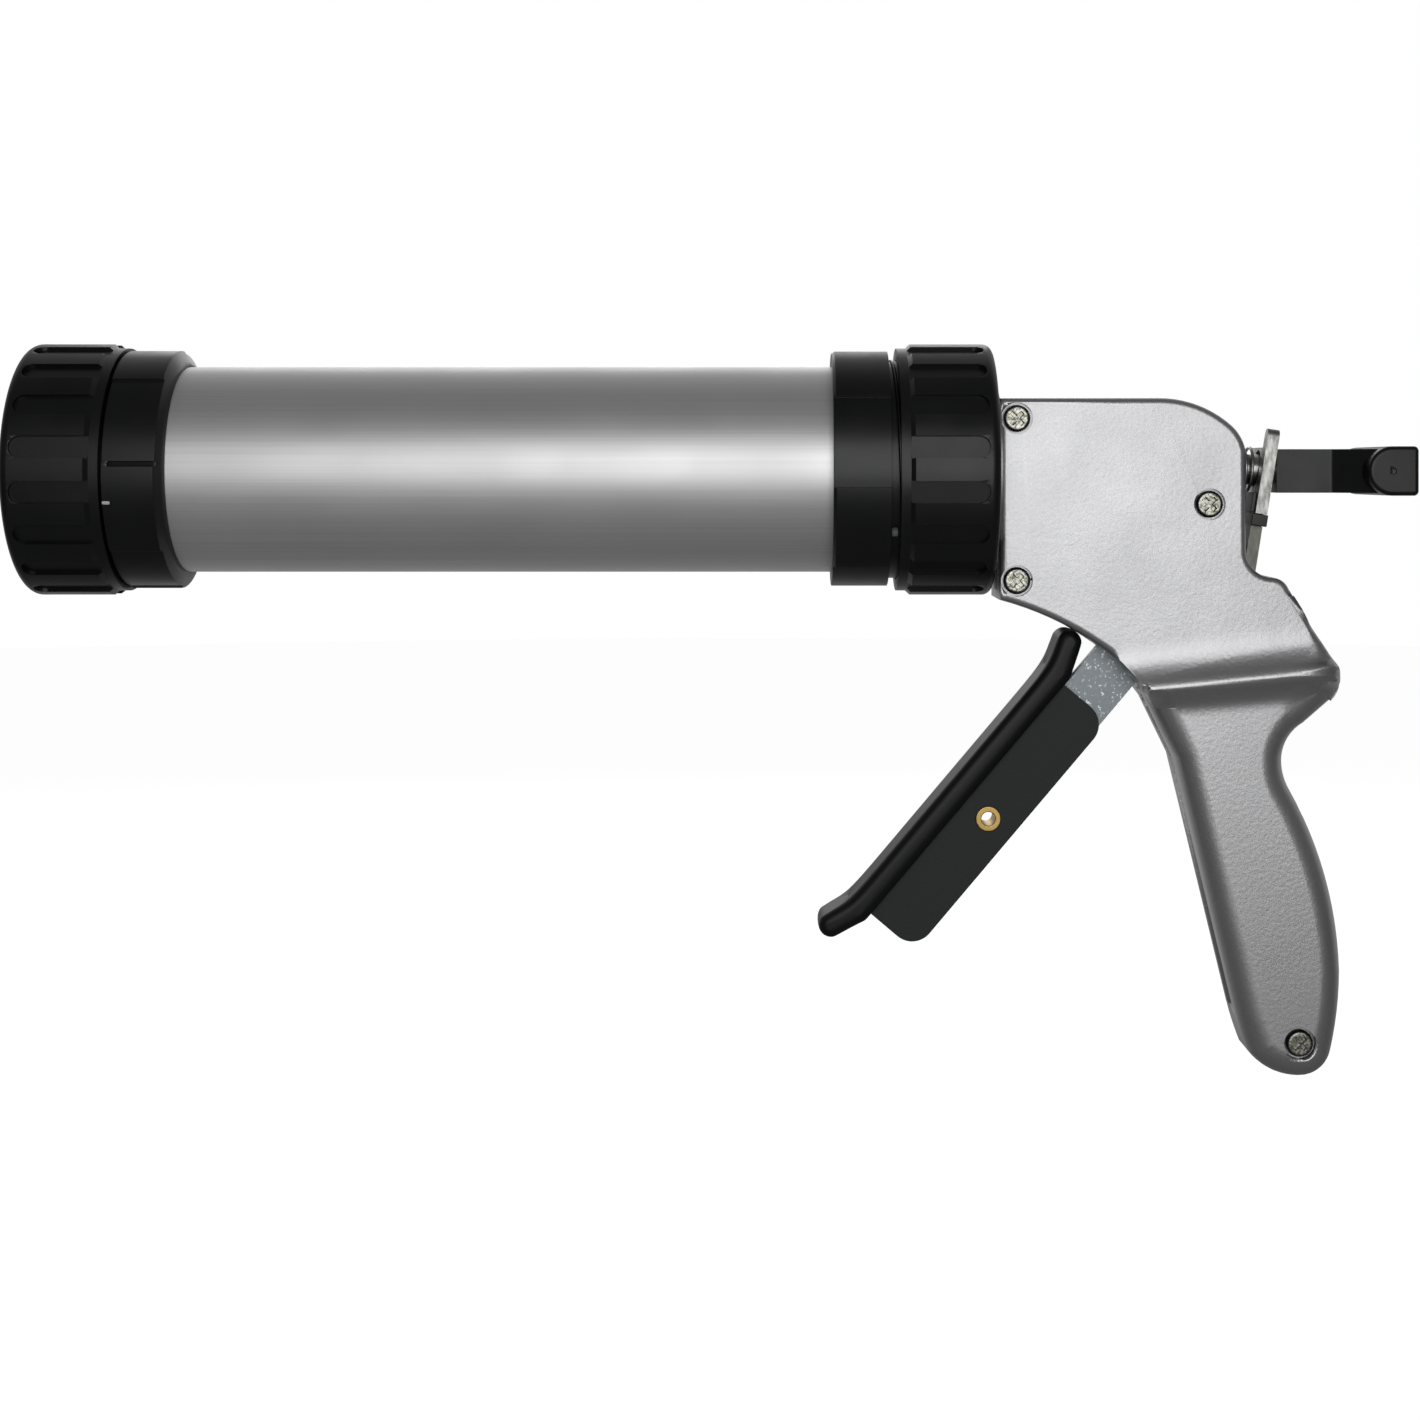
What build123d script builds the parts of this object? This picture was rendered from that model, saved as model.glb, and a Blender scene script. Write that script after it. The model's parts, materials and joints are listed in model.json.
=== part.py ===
from build123d import *
from math import cos, pi, radians, sin, sqrt, tan
import os

# Hand-operated caulking gun with a round barrel, a two-part cast housing and a smooth push rod.
# Millimetres. X runs along the barrel axis from the nozzle end to the rod handle, Z is up,
# and the origin is the centre of the nozzle opening on the front face of the front ring nut.

os.makedirs("parts", exist_ok=True)

# Clearances
FACE_GAP = 0.3
FIT_GAP = 0.05
LOOSE_FIT = 0.1
THREAD_GAP = 0.4

# Barrel tube and the two threaded collars fixed on its ends
TUBE_OD = 54.0
TUBE_WALL = 1.6
TUBE_SHOWING = 168.9
COLLAR_WALL = 4.25
COLLAR_STEP = 0.6
COLLAR_SEGMENTS = 8
FRONT_COLLAR_TURN = 42.0
REAR_COLLAR_TURN = 53.5
COLLAR_ROUND = 0.7
FRONT_SLOT_WIDTH = 1.3
FRONT_SLOT_DEPTH = 1.2
FRONT_SLOT_MARGIN = 1.6
FRONT_SLOT_TURN = 2.6
NECK_WALL = 1.6
FRONT_COLLAR_LENGTH = 15.0
FRONT_COLLAR_BEVEL = 2.0
FRONT_COLLAR_BEVEL_DROP = 3.9
REAR_COLLAR_LENGTH = 14.6
FRONT_NECK_GAP = 0.6
REAR_NECK_GAP = 2.4

# Ring nuts, one at each end of the barrel
NUT_WALL = 4.0
NUT_LENGTH = 25.0
NUT_FLANGE = 2.4
NUT_LIP = 3.4
NUT_NOSE_ROUND = 2.5
FLUTE_COUNT = 18
FLUTE_DEPTH = 1.1
FLUTE_WIDTH = 5.7
FLUTE_MARGIN = 2.7
NOZZLE_OPENING = 40.0
SEAL_THICKNESS = 2.0

# Flange that carries the barrel, clamped between the housing halves
FLANGE_THICKNESS = 4.0
FLANGE_NECK = 44.0
HOUSING_GAP = 1.4
TONGUE_LENGTH = 12.0
TONGUE_WIDTH = 10.0
TONGUE_MARGIN = 2.0
TONGUE_EDGE = 0.6
BUSH_OD = 12.0

# Push rod with its piston and handle
ROD_D = 8.0
PISTON_LENGTH = 14.0
PISTON_LIP = 2.5
PISTON_FLOOR = 5.0
PISTON_START = 1.5
WASHER_D = 28.0
WASHER_THICKNESS = 2.0
PISTON_SCREW_D = 5.0
PISTON_SCREW_HEAD = 9.0
PISTON_SCREW_HEAD_HEIGHT = 3.0
PISTON_SCREW_GRIP = 12.0
STEM_WIDTH = 13.0
STEM_HEIGHT = 11.4
STEM_LENGTH = 27.3
ROD_IN_STEM = 18.0
CROSSBAR_LENGTH = 38.0
CROSSBAR_HEIGHT = 12.7
CROSSBAR_DEPTH = 13.0
CROSSBAR_ROUND = 1.2
CROSSBAR_DIMPLE = 1.6
HANDLE_GAP = 1.1
HANDLE_DROP = 0.4

# Cast housing
BLOCK_THICKNESS = 26.0
HANDLE_THICKNESS = 25.0
RIDGE_THICKNESS = 35.0
HOUSING_WALL = 2.6
HANDLE_WALL = 5.5
BLOCK_EDGE_ROUND = 1.8
HANDLE_EDGE_ROUND = 6.5
RIDGE_FLARE = 10.0
RIDGE_SLOPE = 6.5
RIDGE_TAPER = 0.2
RIDGE_SINK = 0.05
RIDGE_DROP = 4.5
RIDGE_ROUND = 2.6
RIDGE_FOOT_ROUND = 3.5
FLARE_ROUND = 14.0
LEVER_SLOT = 5.0
GROOVE_DEPTH = 4.0
BLOCK_TOP = 18.5
BLOCK_DEPTH = 63.8
BLOCK_BOTTOM = -33.8

# Housing screws
SCREW_D = 4.0
SCREW_INSET = 4.4
SCREW_HIGH = 13.2
SCREW_LOW = -28.8
HANDLE_SCREW_BACK = 13.8
HANDLE_SCREW_DROP = 148.6
SCREW_HEAD_D = 7.0
SCREW_HEAD_HEIGHT = 2.4
SCREW_SINK_D = 8.2
SCREW_SINK = 2.2
SCREW_BITE = 11.0
RECESS_WIDTH = 1.1
RECESS_LENGTH = 4.2
RECESS_DEPTH = 1.5

# Trigger: the pivot is a housing screw in a sleeve, the lever runs down and forward from it
PIVOT_INSET = 9.6
PIVOT_DROP = 9.0
SLEEVE_OD = 6.8
SLEEVE_LENGTH = 16.0
HUB_ROOM = 0.4
LEVER_ANGLE = 49.8
LEVER_THICKNESS = 4.0
LEVER_WIDTH = 13.8
LEVER_SIDE = 3.2
LEVER_START = 22.0
LEVER_END = 130.0
FORK_GAP = 0.6
FORK_WALL = 3.0
NOSE_REACH = 2.5
NOSE_ROUND = 3.0
TRIGGER_TRAVEL = 13.0

# Moulded trigger grip
WEB_START = 59.8
WEB_END = 138.4
WEB_THICKNESS = 9.0
WEB_CORNER = 6.0
WEB_COVER = 0.8
BAR_THICKNESS = 6.7
BAR_WIDTH = 17.0
BAR_ROUND = 2.6
BAR_START = 58.0
BAR_END = 139.6
BAR_HOOK = 8.0
BAR_HOOK_ANGLE = 21.0
BAR_INSET = 0.7
HOOK_ROOM = 0.7
TROUGH_START = 25.0
TROUGH_END = 67.0
EYELET_PLACE = 99.5
EYELET_HOLE = 3.6
EYELET_WALL = 0.6
EYELET_FLANGE_D = 6.6
EYELET_FLANGE = 0.6

# Drive plate and its return spring
DRIVE_PLATE_THICKNESS = 4.0
DRIVE_PLATE_WIDTH = 18.0
DRIVE_PLATE_TOP = 11.0
DRIVE_PLATE_BOTTOM = 6.0
DRIVE_PLATE_ROUND = 2.0
DRIVE_SPRING_WIRE = 1.2
DRIVE_SPRING_TURNS = 9
DRIVE_SPRING_ROOM = 1.0

# Release plate and its spring behind the housing
PLATE_THICKNESS = 3.1
PLATE_TILT = 9.0
PLATE_BACK = 6.4
PLATE_WIDTH = 18.0
PLATE_TOP = 5.6
PLATE_BOTTOM = 11.7
EAR_WIDTH = 4.0
EAR_TOP = 10.6
WAIST_WIDTH = 8.0
WAIST_HEIGHT = 3.3
TONGUE_TIP_WIDTH = 11.0
PLATE_HINGE = 31.5
PLATE_HOLE_PLAY = 1.8
PLATE_POCKET_GAP = 0.6
GROMMET_WALL = 0.5
GROMMET_SIDE = 4.2
RELEASE_TRAVEL = 4.0
RELEASE_SPRING_WIRE = 0.8
RELEASE_SPRING_TURNS = 3
RELEASE_SPRING_PITCH = 1.26
RELEASE_SPRING_ROOM = 1.3
RELEASE_SPRING_SINK = 1.7

# Stations along the barrel axis
tube_r = TUBE_OD / 2
bore_r = tube_r - TUBE_WALL
collar_r = tube_r + COLLAR_WALL
neck_r = tube_r + NECK_WALL
nut_bore_r = neck_r + THREAD_GAP
nut_r = nut_bore_r + NUT_WALL
nut_floor_r = nut_r - FLUTE_DEPTH
rod_r = ROD_D / 2
x_seal = NUT_LIP + FACE_GAP
x_tube_front = x_seal + SEAL_THICKNESS
x_front_shoulder = NUT_LENGTH + FRONT_NECK_GAP
x_front_collar_end = x_front_shoulder + FRONT_COLLAR_LENGTH
x_rear_collar = x_front_collar_end + TUBE_SHOWING
x_rear_shoulder = x_rear_collar + REAR_COLLAR_LENGTH
x_rear_nut = x_rear_shoulder + REAR_NECK_GAP
x_rear_nut_end = x_rear_nut + NUT_LENGTH
x_flange_back = x_rear_nut_end - NUT_LIP - FACE_GAP
x_flange = x_flange_back - FLANGE_THICKNESS
x_tube_rear = x_flange - FACE_GAP
x_housing = x_rear_nut_end + HOUSING_GAP
x_tongue_back = x_housing + TONGUE_LENGTH
x_housing_rear = x_housing + BLOCK_DEPTH
x_plate = x_housing_rear + PLATE_BACK
x_piston = x_tube_front + PISTON_START
x_washer = x_piston + PISTON_LENGTH
x_rod_front = x_washer + WASHER_THICKNESS
x_stem = x_plate + PLATE_THICKNESS / 2 + HANDLE_GAP
x_rod_rear = x_stem + ROD_IN_STEM
block_half = BLOCK_THICKNESS / 2
handle_half = HANDLE_THICKNESS / 2
ridge_half = RIDGE_THICKNESS / 2

# Trigger geometry measured from the pivot: u runs down the lever, v runs from the fingers to the palm
pivot = Vector(x_housing_rear - PIVOT_INSET, 0, -PIVOT_DROP)
lever_u = (-cos(radians(LEVER_ANGLE)), 0, -sin(radians(LEVER_ANGLE)))
trigger_plane = Plane(origin=pivot, x_dir=lever_u, z_dir=(0, -1, 0))
pivot_plane = Plane(origin=pivot, x_dir=(1, 0, 0), z_dir=(0, -1, 0))
hub_r = PIVOT_DROP - rod_r - HUB_ROOM
sleeve_r = SLEEVE_OD / 2
fork_inner = rod_r + FORK_GAP
fork_outer = fork_inner + FORK_WALL
lever_far_side = LEVER_SIDE + LEVER_WIDTH
x_drive_plate = pivot.X - NOSE_REACH - NOSE_ROUND - FACE_GAP - DRIVE_PLATE_THICKNESS
lever_middle = LEVER_SIDE + LEVER_WIDTH / 2
web_far_side = lever_far_side + WEB_COVER
bar_side = LEVER_SIDE - BAR_INSET - BAR_THICKNESS / 2
bar_hook_r = BAR_START - BAR_HOOK * cos(radians(BAR_HOOK_ANGLE)) - BAR_THICKNESS / 2
eyelet_r = EYELET_HOLE / 2 + EYELET_WALL
release_spring_r = rod_r + RELEASE_SPRING_ROOM + RELEASE_SPRING_WIRE / 2

# Screw places on the near face of the housing: two at the barrel, the pivot and the handle end
screw_places = [
    (x_housing + SCREW_INSET, SCREW_HIGH, block_half),
    (x_housing + SCREW_INSET, SCREW_LOW, block_half),
    (pivot.X, pivot.Z, block_half),
    (x_housing_rear + HANDLE_SCREW_BACK, -HANDLE_SCREW_DROP, handle_half),
]

# Axis of the release plate, a line in the XZ plane that leans back towards its top
plate_plane = Plane(
    origin=(x_plate, 0, 0),
    x_dir=(0, 1, 0),
    z_dir=(cos(radians(PLATE_TILT)), 0, -sin(radians(PLATE_TILT))),
)


def keep(builder, name):
    """Label a finished sub-part and write it as its own STEP file."""
    builder.part.label = name
    export_step(builder.part, f"parts/{name}.step")


def collar(name, x_shoulder, x_end, x_neck_end, bevel, bevel_drop, turn, slot_turn=None):
    """Sleeve on the tube end: a stepped grip ring, slotted if asked, and a plain neck for the ring nut."""
    inner = tube_r + FIT_GAP
    side = 1 if x_end > x_shoulder else -1
    with BuildPart() as ring:
        with BuildSketch(Plane.XZ):
            with BuildLine():
                Polyline(
                    (x_neck_end, inner),
                    (x_neck_end, neck_r),
                    (x_shoulder, neck_r),
                    (x_shoulder, collar_r),
                    (x_end - side * bevel, collar_r),
                    (x_end, collar_r - bevel_drop),
                    (x_end, inner),
                    close=True,
                )
            make_face()
        revolve(axis=Axis.X)
        wedge = 360 / COLLAR_SEGMENTS
        reach = 2 * collar_r
        with BuildSketch(Plane.YZ.offset(min(x_shoulder, x_end))):
            for index in range(0, COLLAR_SEGMENTS, 2):
                Polygon(
                    (0, 0),
                    (reach, 0),
                    (reach * cos(radians(wedge)), reach * sin(radians(wedge))),
                    rotation=index * wedge + turn,
                    align=None,
                )
            Circle(collar_r - COLLAR_STEP, mode=Mode.SUBTRACT)
        extrude(amount=abs(x_end - x_shoulder), mode=Mode.SUBTRACT)
        if slot_turn is not None:
            outward = Vector(0, -cos(radians(slot_turn)), sin(radians(slot_turn)))
            slot_start = Vector(x_shoulder + side * FRONT_SLOT_MARGIN, 0, 0) + outward * collar_r
            slot_length = abs(x_end - x_shoulder)
            with BuildSketch(Plane(origin=slot_start, x_dir=(side, 0, 0), z_dir=outward)):
                with Locations((slot_length / 2, 0)):
                    Rectangle(slot_length, FRONT_SLOT_WIDTH)
            extrude(amount=-FRONT_SLOT_DEPTH, mode=Mode.SUBTRACT)
    keep(ring, name)


def ring_nut(name, x_nose, side, opening_r):
    """Fluted nut: x_nose is its free end and side points from there to the collar."""
    x_lands = NUT_LENGTH - NUT_FLANGE
    slot_start = FLUTE_MARGIN + FLUTE_WIDTH / 2
    slot_length = NUT_LENGTH - slot_start + FLUTE_WIDTH
    pitch = 360 / FLUTE_COUNT
    flute_planes = []
    for index in range(FLUTE_COUNT):
        turn = radians((index + 0.5) * pitch)
        outward = Vector(0, -cos(turn), sin(turn))
        flute_planes.append(
            Plane(
                origin=Vector(x_nose + side * slot_start, 0, 0) + outward * nut_floor_r,
                x_dir=(side, 0, 0),
                z_dir=outward,
            )
        )
    with BuildPart() as nut:
        with BuildSketch(Plane.XZ):
            with BuildLine():
                Polyline(
                    (x_nose + side * NUT_NOSE_ROUND, nut_r),
                    (x_nose + side * (x_lands - FLUTE_DEPTH), nut_r),
                    (x_nose + side * x_lands, nut_floor_r),
                    (x_nose + side * NUT_LENGTH, nut_floor_r),
                    (x_nose + side * NUT_LENGTH, nut_bore_r),
                    (x_nose + side * NUT_LIP, nut_bore_r),
                    (x_nose + side * NUT_LIP, opening_r),
                    (x_nose, opening_r),
                    (x_nose, nut_r - NUT_NOSE_ROUND),
                )
                RadiusArc(
                    (x_nose, nut_r - NUT_NOSE_ROUND),
                    (x_nose + side * NUT_NOSE_ROUND, nut_r),
                    side * NUT_NOSE_ROUND,
                )
            make_face()
        revolve(axis=Axis.X)
        with BuildSketch(*flute_planes):
            with Locations((slot_length / 2, 0)):
                Rectangle(slot_length, FLUTE_WIDTH)
            Circle(FLUTE_WIDTH / 2)
        extrude(amount=2 * FLUTE_DEPTH, mode=Mode.SUBTRACT)
    keep(nut, name)


def coil_point(turn, turns, radius, x_start, pitch, lean):
    """Point on a coil about the X axis whose turns lean over towards its far end."""
    y = radius * cos(2 * pi * turn)
    z = radius * sin(2 * pi * turn)
    return Vector(x_start + pitch * turn + lean * (z + radius) * turn / turns, y, z)


def coil_spring(name, turns, radius, wire, x_start, pitch, lean):
    """One unbroken wire along biarcs of a quarter turn, with its least gap measured on points."""
    step = 0.25
    small = 1e-4

    def place(turn):
        return coil_point(turn, turns, radius, x_start, pitch, lean)

    def heading(turn):
        return (place(turn + small) - place(turn - small)).normalized()

    with BuildPart() as spring:
        with BuildLine() as wire_path:
            for quarter in range(round(turns / step)):
                start = place(quarter * step)
                end = place((quarter + 1) * step)
                out = heading(quarter * step)
                back = heading((quarter + 1) * step)
                chord = end - start
                both = out + back
                apart = 2 * (1 - out.dot(back))
                lean_in = chord.dot(both)
                reach = (sqrt(lean_in**2 + apart * chord.dot(chord)) - lean_in) / apart
                knee_out = start + out * reach
                knee_back = end - back * reach
                middle = (knee_out + knee_back) * 0.5
                TangentArc(start, middle, tangent=out)
                TangentArc(middle, end, tangent=knee_back - knee_out)
        with BuildSketch(Plane(origin=place(0), z_dir=heading(0))):
            Circle(wire / 2)
        sweep(path=wire_path.line)
    samples = 48
    points = [place(index / samples) for index in range(turns * samples + 1)]
    gaps = []
    for index, point in enumerate(points):
        for other in points[index + samples * 3 // 4:]:
            gaps.append((point - other).length - wire)
    print(f"{name}: least gap {min(gaps):.2f} mm, volume {spring.part.volume:.1f} mm3")
    keep(spring, name)


# Barrel tube
with BuildPart() as barrel_tube:
    with BuildSketch(Plane.YZ.offset(x_tube_front)):
        Circle(tube_r)
        Circle(bore_r, mode=Mode.SUBTRACT)
    extrude(amount=x_tube_rear - x_tube_front)
keep(barrel_tube, "barrel_tube")

# Threaded collars: the front one ends in a bevel, the rear one in a square edge
collar(
    "front_collar",
    x_front_shoulder,
    x_front_collar_end,
    x_tube_front,
    FRONT_COLLAR_BEVEL,
    FRONT_COLLAR_BEVEL_DROP,
    FRONT_COLLAR_TURN,
    FRONT_SLOT_TURN,
)
collar(
    "rear_collar",
    x_rear_shoulder,
    x_rear_collar,
    x_tube_rear,
    COLLAR_ROUND,
    COLLAR_ROUND,
    REAR_COLLAR_TURN,
)

# Ring nuts: the front one holds the nozzle, the rear one holds the barrel on its flange
ring_nut("front_ring_nut", 0, 1, NOZZLE_OPENING / 2)
ring_nut("rear_ring_nut", x_rear_nut_end, -1, FLANGE_NECK / 2 + THREAD_GAP)

# Flat seal that the nozzle flange presses on
with BuildPart() as front_seal_ring:
    with BuildSketch(Plane.YZ.offset(x_seal)):
        Circle(neck_r)
        Circle(NOZZLE_OPENING / 2 + FACE_GAP, mode=Mode.SUBTRACT)
    extrude(amount=SEAL_THICKNESS)
keep(front_seal_ring, "front_seal_ring")

# Barrel flange: disc inside the rear nut, neck through its lip, tongue between the housing halves
tongue_low = SCREW_LOW - SCREW_D / 2 - LOOSE_FIT - TONGUE_EDGE
tongue_high = BLOCK_TOP - TONGUE_MARGIN
with BuildPart() as barrel_flange:
    with BuildSketch(Plane.YZ.offset(x_flange)):
        Circle(neck_r - LOOSE_FIT)
    extrude(amount=FLANGE_THICKNESS)
    with BuildSketch(Plane.YZ.offset(x_flange_back)):
        Circle(FLANGE_NECK / 2)
    extrude(amount=x_housing - x_flange_back)
    with BuildSketch(Plane.YZ.offset(x_housing)):
        with Locations((0, (tongue_low + tongue_high) / 2)):
            Rectangle(TONGUE_WIDTH, tongue_high - tongue_low)
        Circle(BUSH_OD / 2 + HOUSING_WALL)
    extrude(amount=TONGUE_LENGTH)
    with BuildSketch(Plane.YZ.offset(x_flange)):
        Circle(BUSH_OD / 2 + FIT_GAP)
    extrude(amount=x_tongue_back - x_flange, mode=Mode.SUBTRACT)
    with BuildSketch(Plane.XZ):
        with Locations(*[(x, z) for x, z, _ in screw_places[:2]]):
            Circle(SCREW_D / 2 + LOOSE_FIT)
    extrude(amount=TONGUE_WIDTH, both=True, mode=Mode.SUBTRACT)
keep(barrel_flange, "barrel_flange")

# Plain bush that guides the rod in the flange
with BuildPart() as rod_bush:
    with BuildSketch(Plane.YZ.offset(x_flange)):
        Circle(BUSH_OD / 2)
        Circle(rod_r + FIT_GAP, mode=Mode.SUBTRACT)
    extrude(amount=x_tongue_back - x_flange)
keep(rod_bush, "rod_bush")

# Push rod, drilled at the front for the piston screw
with BuildPart() as push_rod:
    with BuildSketch(Plane.YZ.offset(x_rod_front)):
        Circle(rod_r)
    extrude(amount=x_rod_rear - x_rod_front)
    with BuildSketch(Plane.YZ.offset(x_rod_front)):
        Circle(PISTON_SCREW_D / 2 + FIT_GAP)
    extrude(amount=PISTON_SCREW_GRIP, mode=Mode.SUBTRACT)
keep(push_rod, "push_rod")

# Piston: cup with a thick floor, its screw head sunk in the front face
piston_r = bore_r - FACE_GAP
with BuildPart() as piston:
    with BuildSketch(Plane.YZ.offset(x_piston)):
        Circle(piston_r)
    extrude(amount=PISTON_LENGTH)
    with BuildSketch(Plane.YZ.offset(x_piston + PISTON_FLOOR)):
        Circle(piston_r - PISTON_LIP)
        Circle(WASHER_D / 2, mode=Mode.SUBTRACT)
    extrude(amount=PISTON_LENGTH - PISTON_FLOOR, mode=Mode.SUBTRACT)
    with BuildSketch(Plane.YZ.offset(x_piston)):
        Circle(PISTON_SCREW_HEAD / 2 + LOOSE_FIT)
    extrude(amount=PISTON_SCREW_HEAD_HEIGHT, mode=Mode.SUBTRACT)
    with BuildSketch(Plane.YZ.offset(x_piston)):
        Circle(PISTON_SCREW_D / 2 + LOOSE_FIT)
    extrude(amount=PISTON_LENGTH, mode=Mode.SUBTRACT)
keep(piston, "piston")

# Washer between the piston and the rod
with BuildPart() as piston_washer:
    with BuildSketch(Plane.YZ.offset(x_washer)):
        Circle(WASHER_D / 2)
        Circle(PISTON_SCREW_D / 2 + LOOSE_FIT, mode=Mode.SUBTRACT)
    extrude(amount=WASHER_THICKNESS)
keep(piston_washer, "piston_washer")

# Screw that holds the piston on the rod
with BuildPart() as piston_screw:
    with BuildSketch(Plane.YZ.offset(x_piston)):
        Circle(PISTON_SCREW_HEAD / 2)
    extrude(amount=PISTON_SCREW_HEAD_HEIGHT)
    with BuildSketch(Plane.YZ.offset(x_piston)):
        Circle(PISTON_SCREW_D / 2)
    extrude(amount=x_rod_front + PISTON_SCREW_GRIP - FACE_GAP - x_piston)
    with BuildSketch(Plane.YZ.offset(x_piston)):
        Rectangle(RECESS_LENGTH, RECESS_WIDTH)
        Rectangle(RECESS_WIDTH, RECESS_LENGTH)
    extrude(amount=RECESS_DEPTH, mode=Mode.SUBTRACT)
keep(piston_screw, "piston_screw")

# Rod handle: flat stem flaring into a crossbar with a rounded front and a flat back
bar_r = CROSSBAR_HEIGHT / 2
stem_flare = (CROSSBAR_LENGTH - STEM_WIDTH) / 2 - CROSSBAR_ROUND - FACE_GAP
x_bar_axis = x_stem + STEM_LENGTH
x_bar_back = x_bar_axis + CROSSBAR_DEPTH - bar_r
with BuildPart() as rod_handle:
    with BuildSketch(Plane.XZ):
        with BuildLine():
            ThreePointArc(
                (x_bar_axis, bar_r - HANDLE_DROP),
                (x_bar_axis - bar_r, -HANDLE_DROP),
                (x_bar_axis, -bar_r - HANDLE_DROP),
            )
            Polyline(
                (x_bar_axis, -bar_r - HANDLE_DROP),
                (x_bar_back, -bar_r - HANDLE_DROP),
                (x_bar_back, bar_r - HANDLE_DROP),
                (x_bar_axis, bar_r - HANDLE_DROP),
            )
        make_face()
    extrude(amount=CROSSBAR_LENGTH / 2, both=True)
    fillet(rod_handle.edges().filter_by(Axis.Y).group_by(Axis.X)[-1], CROSSBAR_ROUND)
    fillet(rod_handle.faces().filter_by(Axis.Y).edges(), CROSSBAR_ROUND)
    with BuildSketch(Plane.XY.offset(-HANDLE_DROP)):
        with BuildLine():
            Polyline(
                (x_bar_axis, -CROSSBAR_LENGTH / 2 + CROSSBAR_ROUND),
                (x_bar_axis, -STEM_WIDTH / 2),
                (x_stem, -STEM_WIDTH / 2),
                (x_stem, STEM_WIDTH / 2),
                (x_bar_axis, STEM_WIDTH / 2),
                (x_bar_axis, CROSSBAR_LENGTH / 2 - CROSSBAR_ROUND),
                (x_bar_axis + CROSSBAR_ROUND, CROSSBAR_LENGTH / 2 - CROSSBAR_ROUND),
                (x_bar_axis + CROSSBAR_ROUND, -CROSSBAR_LENGTH / 2 + CROSSBAR_ROUND),
                close=True,
            )
        stem_face = make_face()
        inside_corners = [
            corner
            for corner in stem_face.vertices()
            if abs(corner.X - x_bar_axis) < LOOSE_FIT and abs(abs(corner.Y) - STEM_WIDTH / 2) < LOOSE_FIT
        ]
        fillet(inside_corners, stem_flare)
    extrude(amount=STEM_HEIGHT / 2, both=True)
    with BuildSketch(Plane.YZ.offset(x_stem)):
        Circle(rod_r + FIT_GAP)
    extrude(amount=ROD_IN_STEM, mode=Mode.SUBTRACT)
    with BuildSketch(Plane.XZ.offset(-CROSSBAR_LENGTH / 2), Plane.XZ.offset(CROSSBAR_LENGTH / 2)):
        with Locations((x_bar_axis, -HANDLE_DROP)):
            Circle(CROSSBAR_DIMPLE / 2)
    extrude(amount=CROSSBAR_DIMPLE / 2, both=True, mode=Mode.SUBTRACT)
keep(rod_handle, "rod_handle")

# Side outline of the housing, as places behind its rear face and above the barrel axis
outline_start = (-BLOCK_DEPTH, BLOCK_BOTTOM)
top_front = (-BLOCK_DEPTH, BLOCK_TOP)
top_rear = (-22.4, BLOCK_TOP)
shoulder_end = (-3.7, 11.4)
rear_high = (0, 4.6)
rear_low = (0, -20.9)
saddle_end = (6.6, -28.0)
horn_start = (11.1, -31.0)
horn_upper = (22.7, -49.4)
horn_tip = (24.9, -54.9)
horn_lower = (22.6, -60.2)
horn_under = (15.7, -66.2)
back_waist = (10.2, -75.8)
back_turn = (12.2, -83.4)
back_belly = (25.3, -130.4)
heel_high = (22.8, -151.9)
heel_low = (14.4, -158.1)
toe_low = (1.7, -152.0)
toe_high = (-1.8, -141.1)
front_high = (-17.7, -75.3)
throat = (-26.1, -58.0)
belly = (-38.5, -45.3)


def at(place):
    """Place in the XZ plane from a place given behind the housing's rear face."""
    return (x_housing_rear + place[0], place[1])


with BuildSketch(Plane.XZ) as housing_outline:
    with BuildLine():
        Polyline(at(outline_start), at(top_front), at(top_rear))
        TangentArc(at(top_rear), at(shoulder_end), tangent=(1, 0))
        TangentArc(at(shoulder_end), at(rear_high), tangent=(cos(radians(42)), -sin(radians(42))))
        Line(at(rear_high), at(rear_low))
        TangentArc(at(rear_low), at(saddle_end), tangent=(0, -1))
        TangentArc(at(saddle_end), at(horn_start), tangent=(1, 0))
        Line(at(horn_start), at(horn_upper))
        ThreePointArc(at(horn_upper), at(horn_tip), at(horn_lower))
        Line(at(horn_lower), at(horn_under))
        TangentArc(at(back_waist), at(horn_under), tangent=(0, 1))
        TangentArc(at(back_waist), at(back_turn), tangent=(0, -1))
        TangentArc(at(back_turn), at(back_belly), tangent=(cos(radians(60.6)), -sin(radians(60.6))))
        TangentArc(at(back_belly), at(heel_high), tangent=(0, -1))
        TangentArc(at(heel_high), at(heel_low), tangent=(-cos(radians(75)), -sin(radians(75))))
        TangentArc(at(heel_low), at(toe_low), tangent=(-1, 0))
        TangentArc(at(toe_high), at(toe_low), tangent=(cos(radians(76)), -sin(radians(76))))
        Line(at(toe_high), at(front_high))
        TangentArc(at(front_high), at(throat), tangent=(-cos(radians(74)), sin(radians(74))))
        TangentArc(at(throat), at(belly), tangent=(-cos(radians(59)), sin(radians(59))))
        TangentArc(at(belly), at(outline_start), tangent=(-cos(radians(34)), sin(radians(34))))
    make_face()

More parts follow.
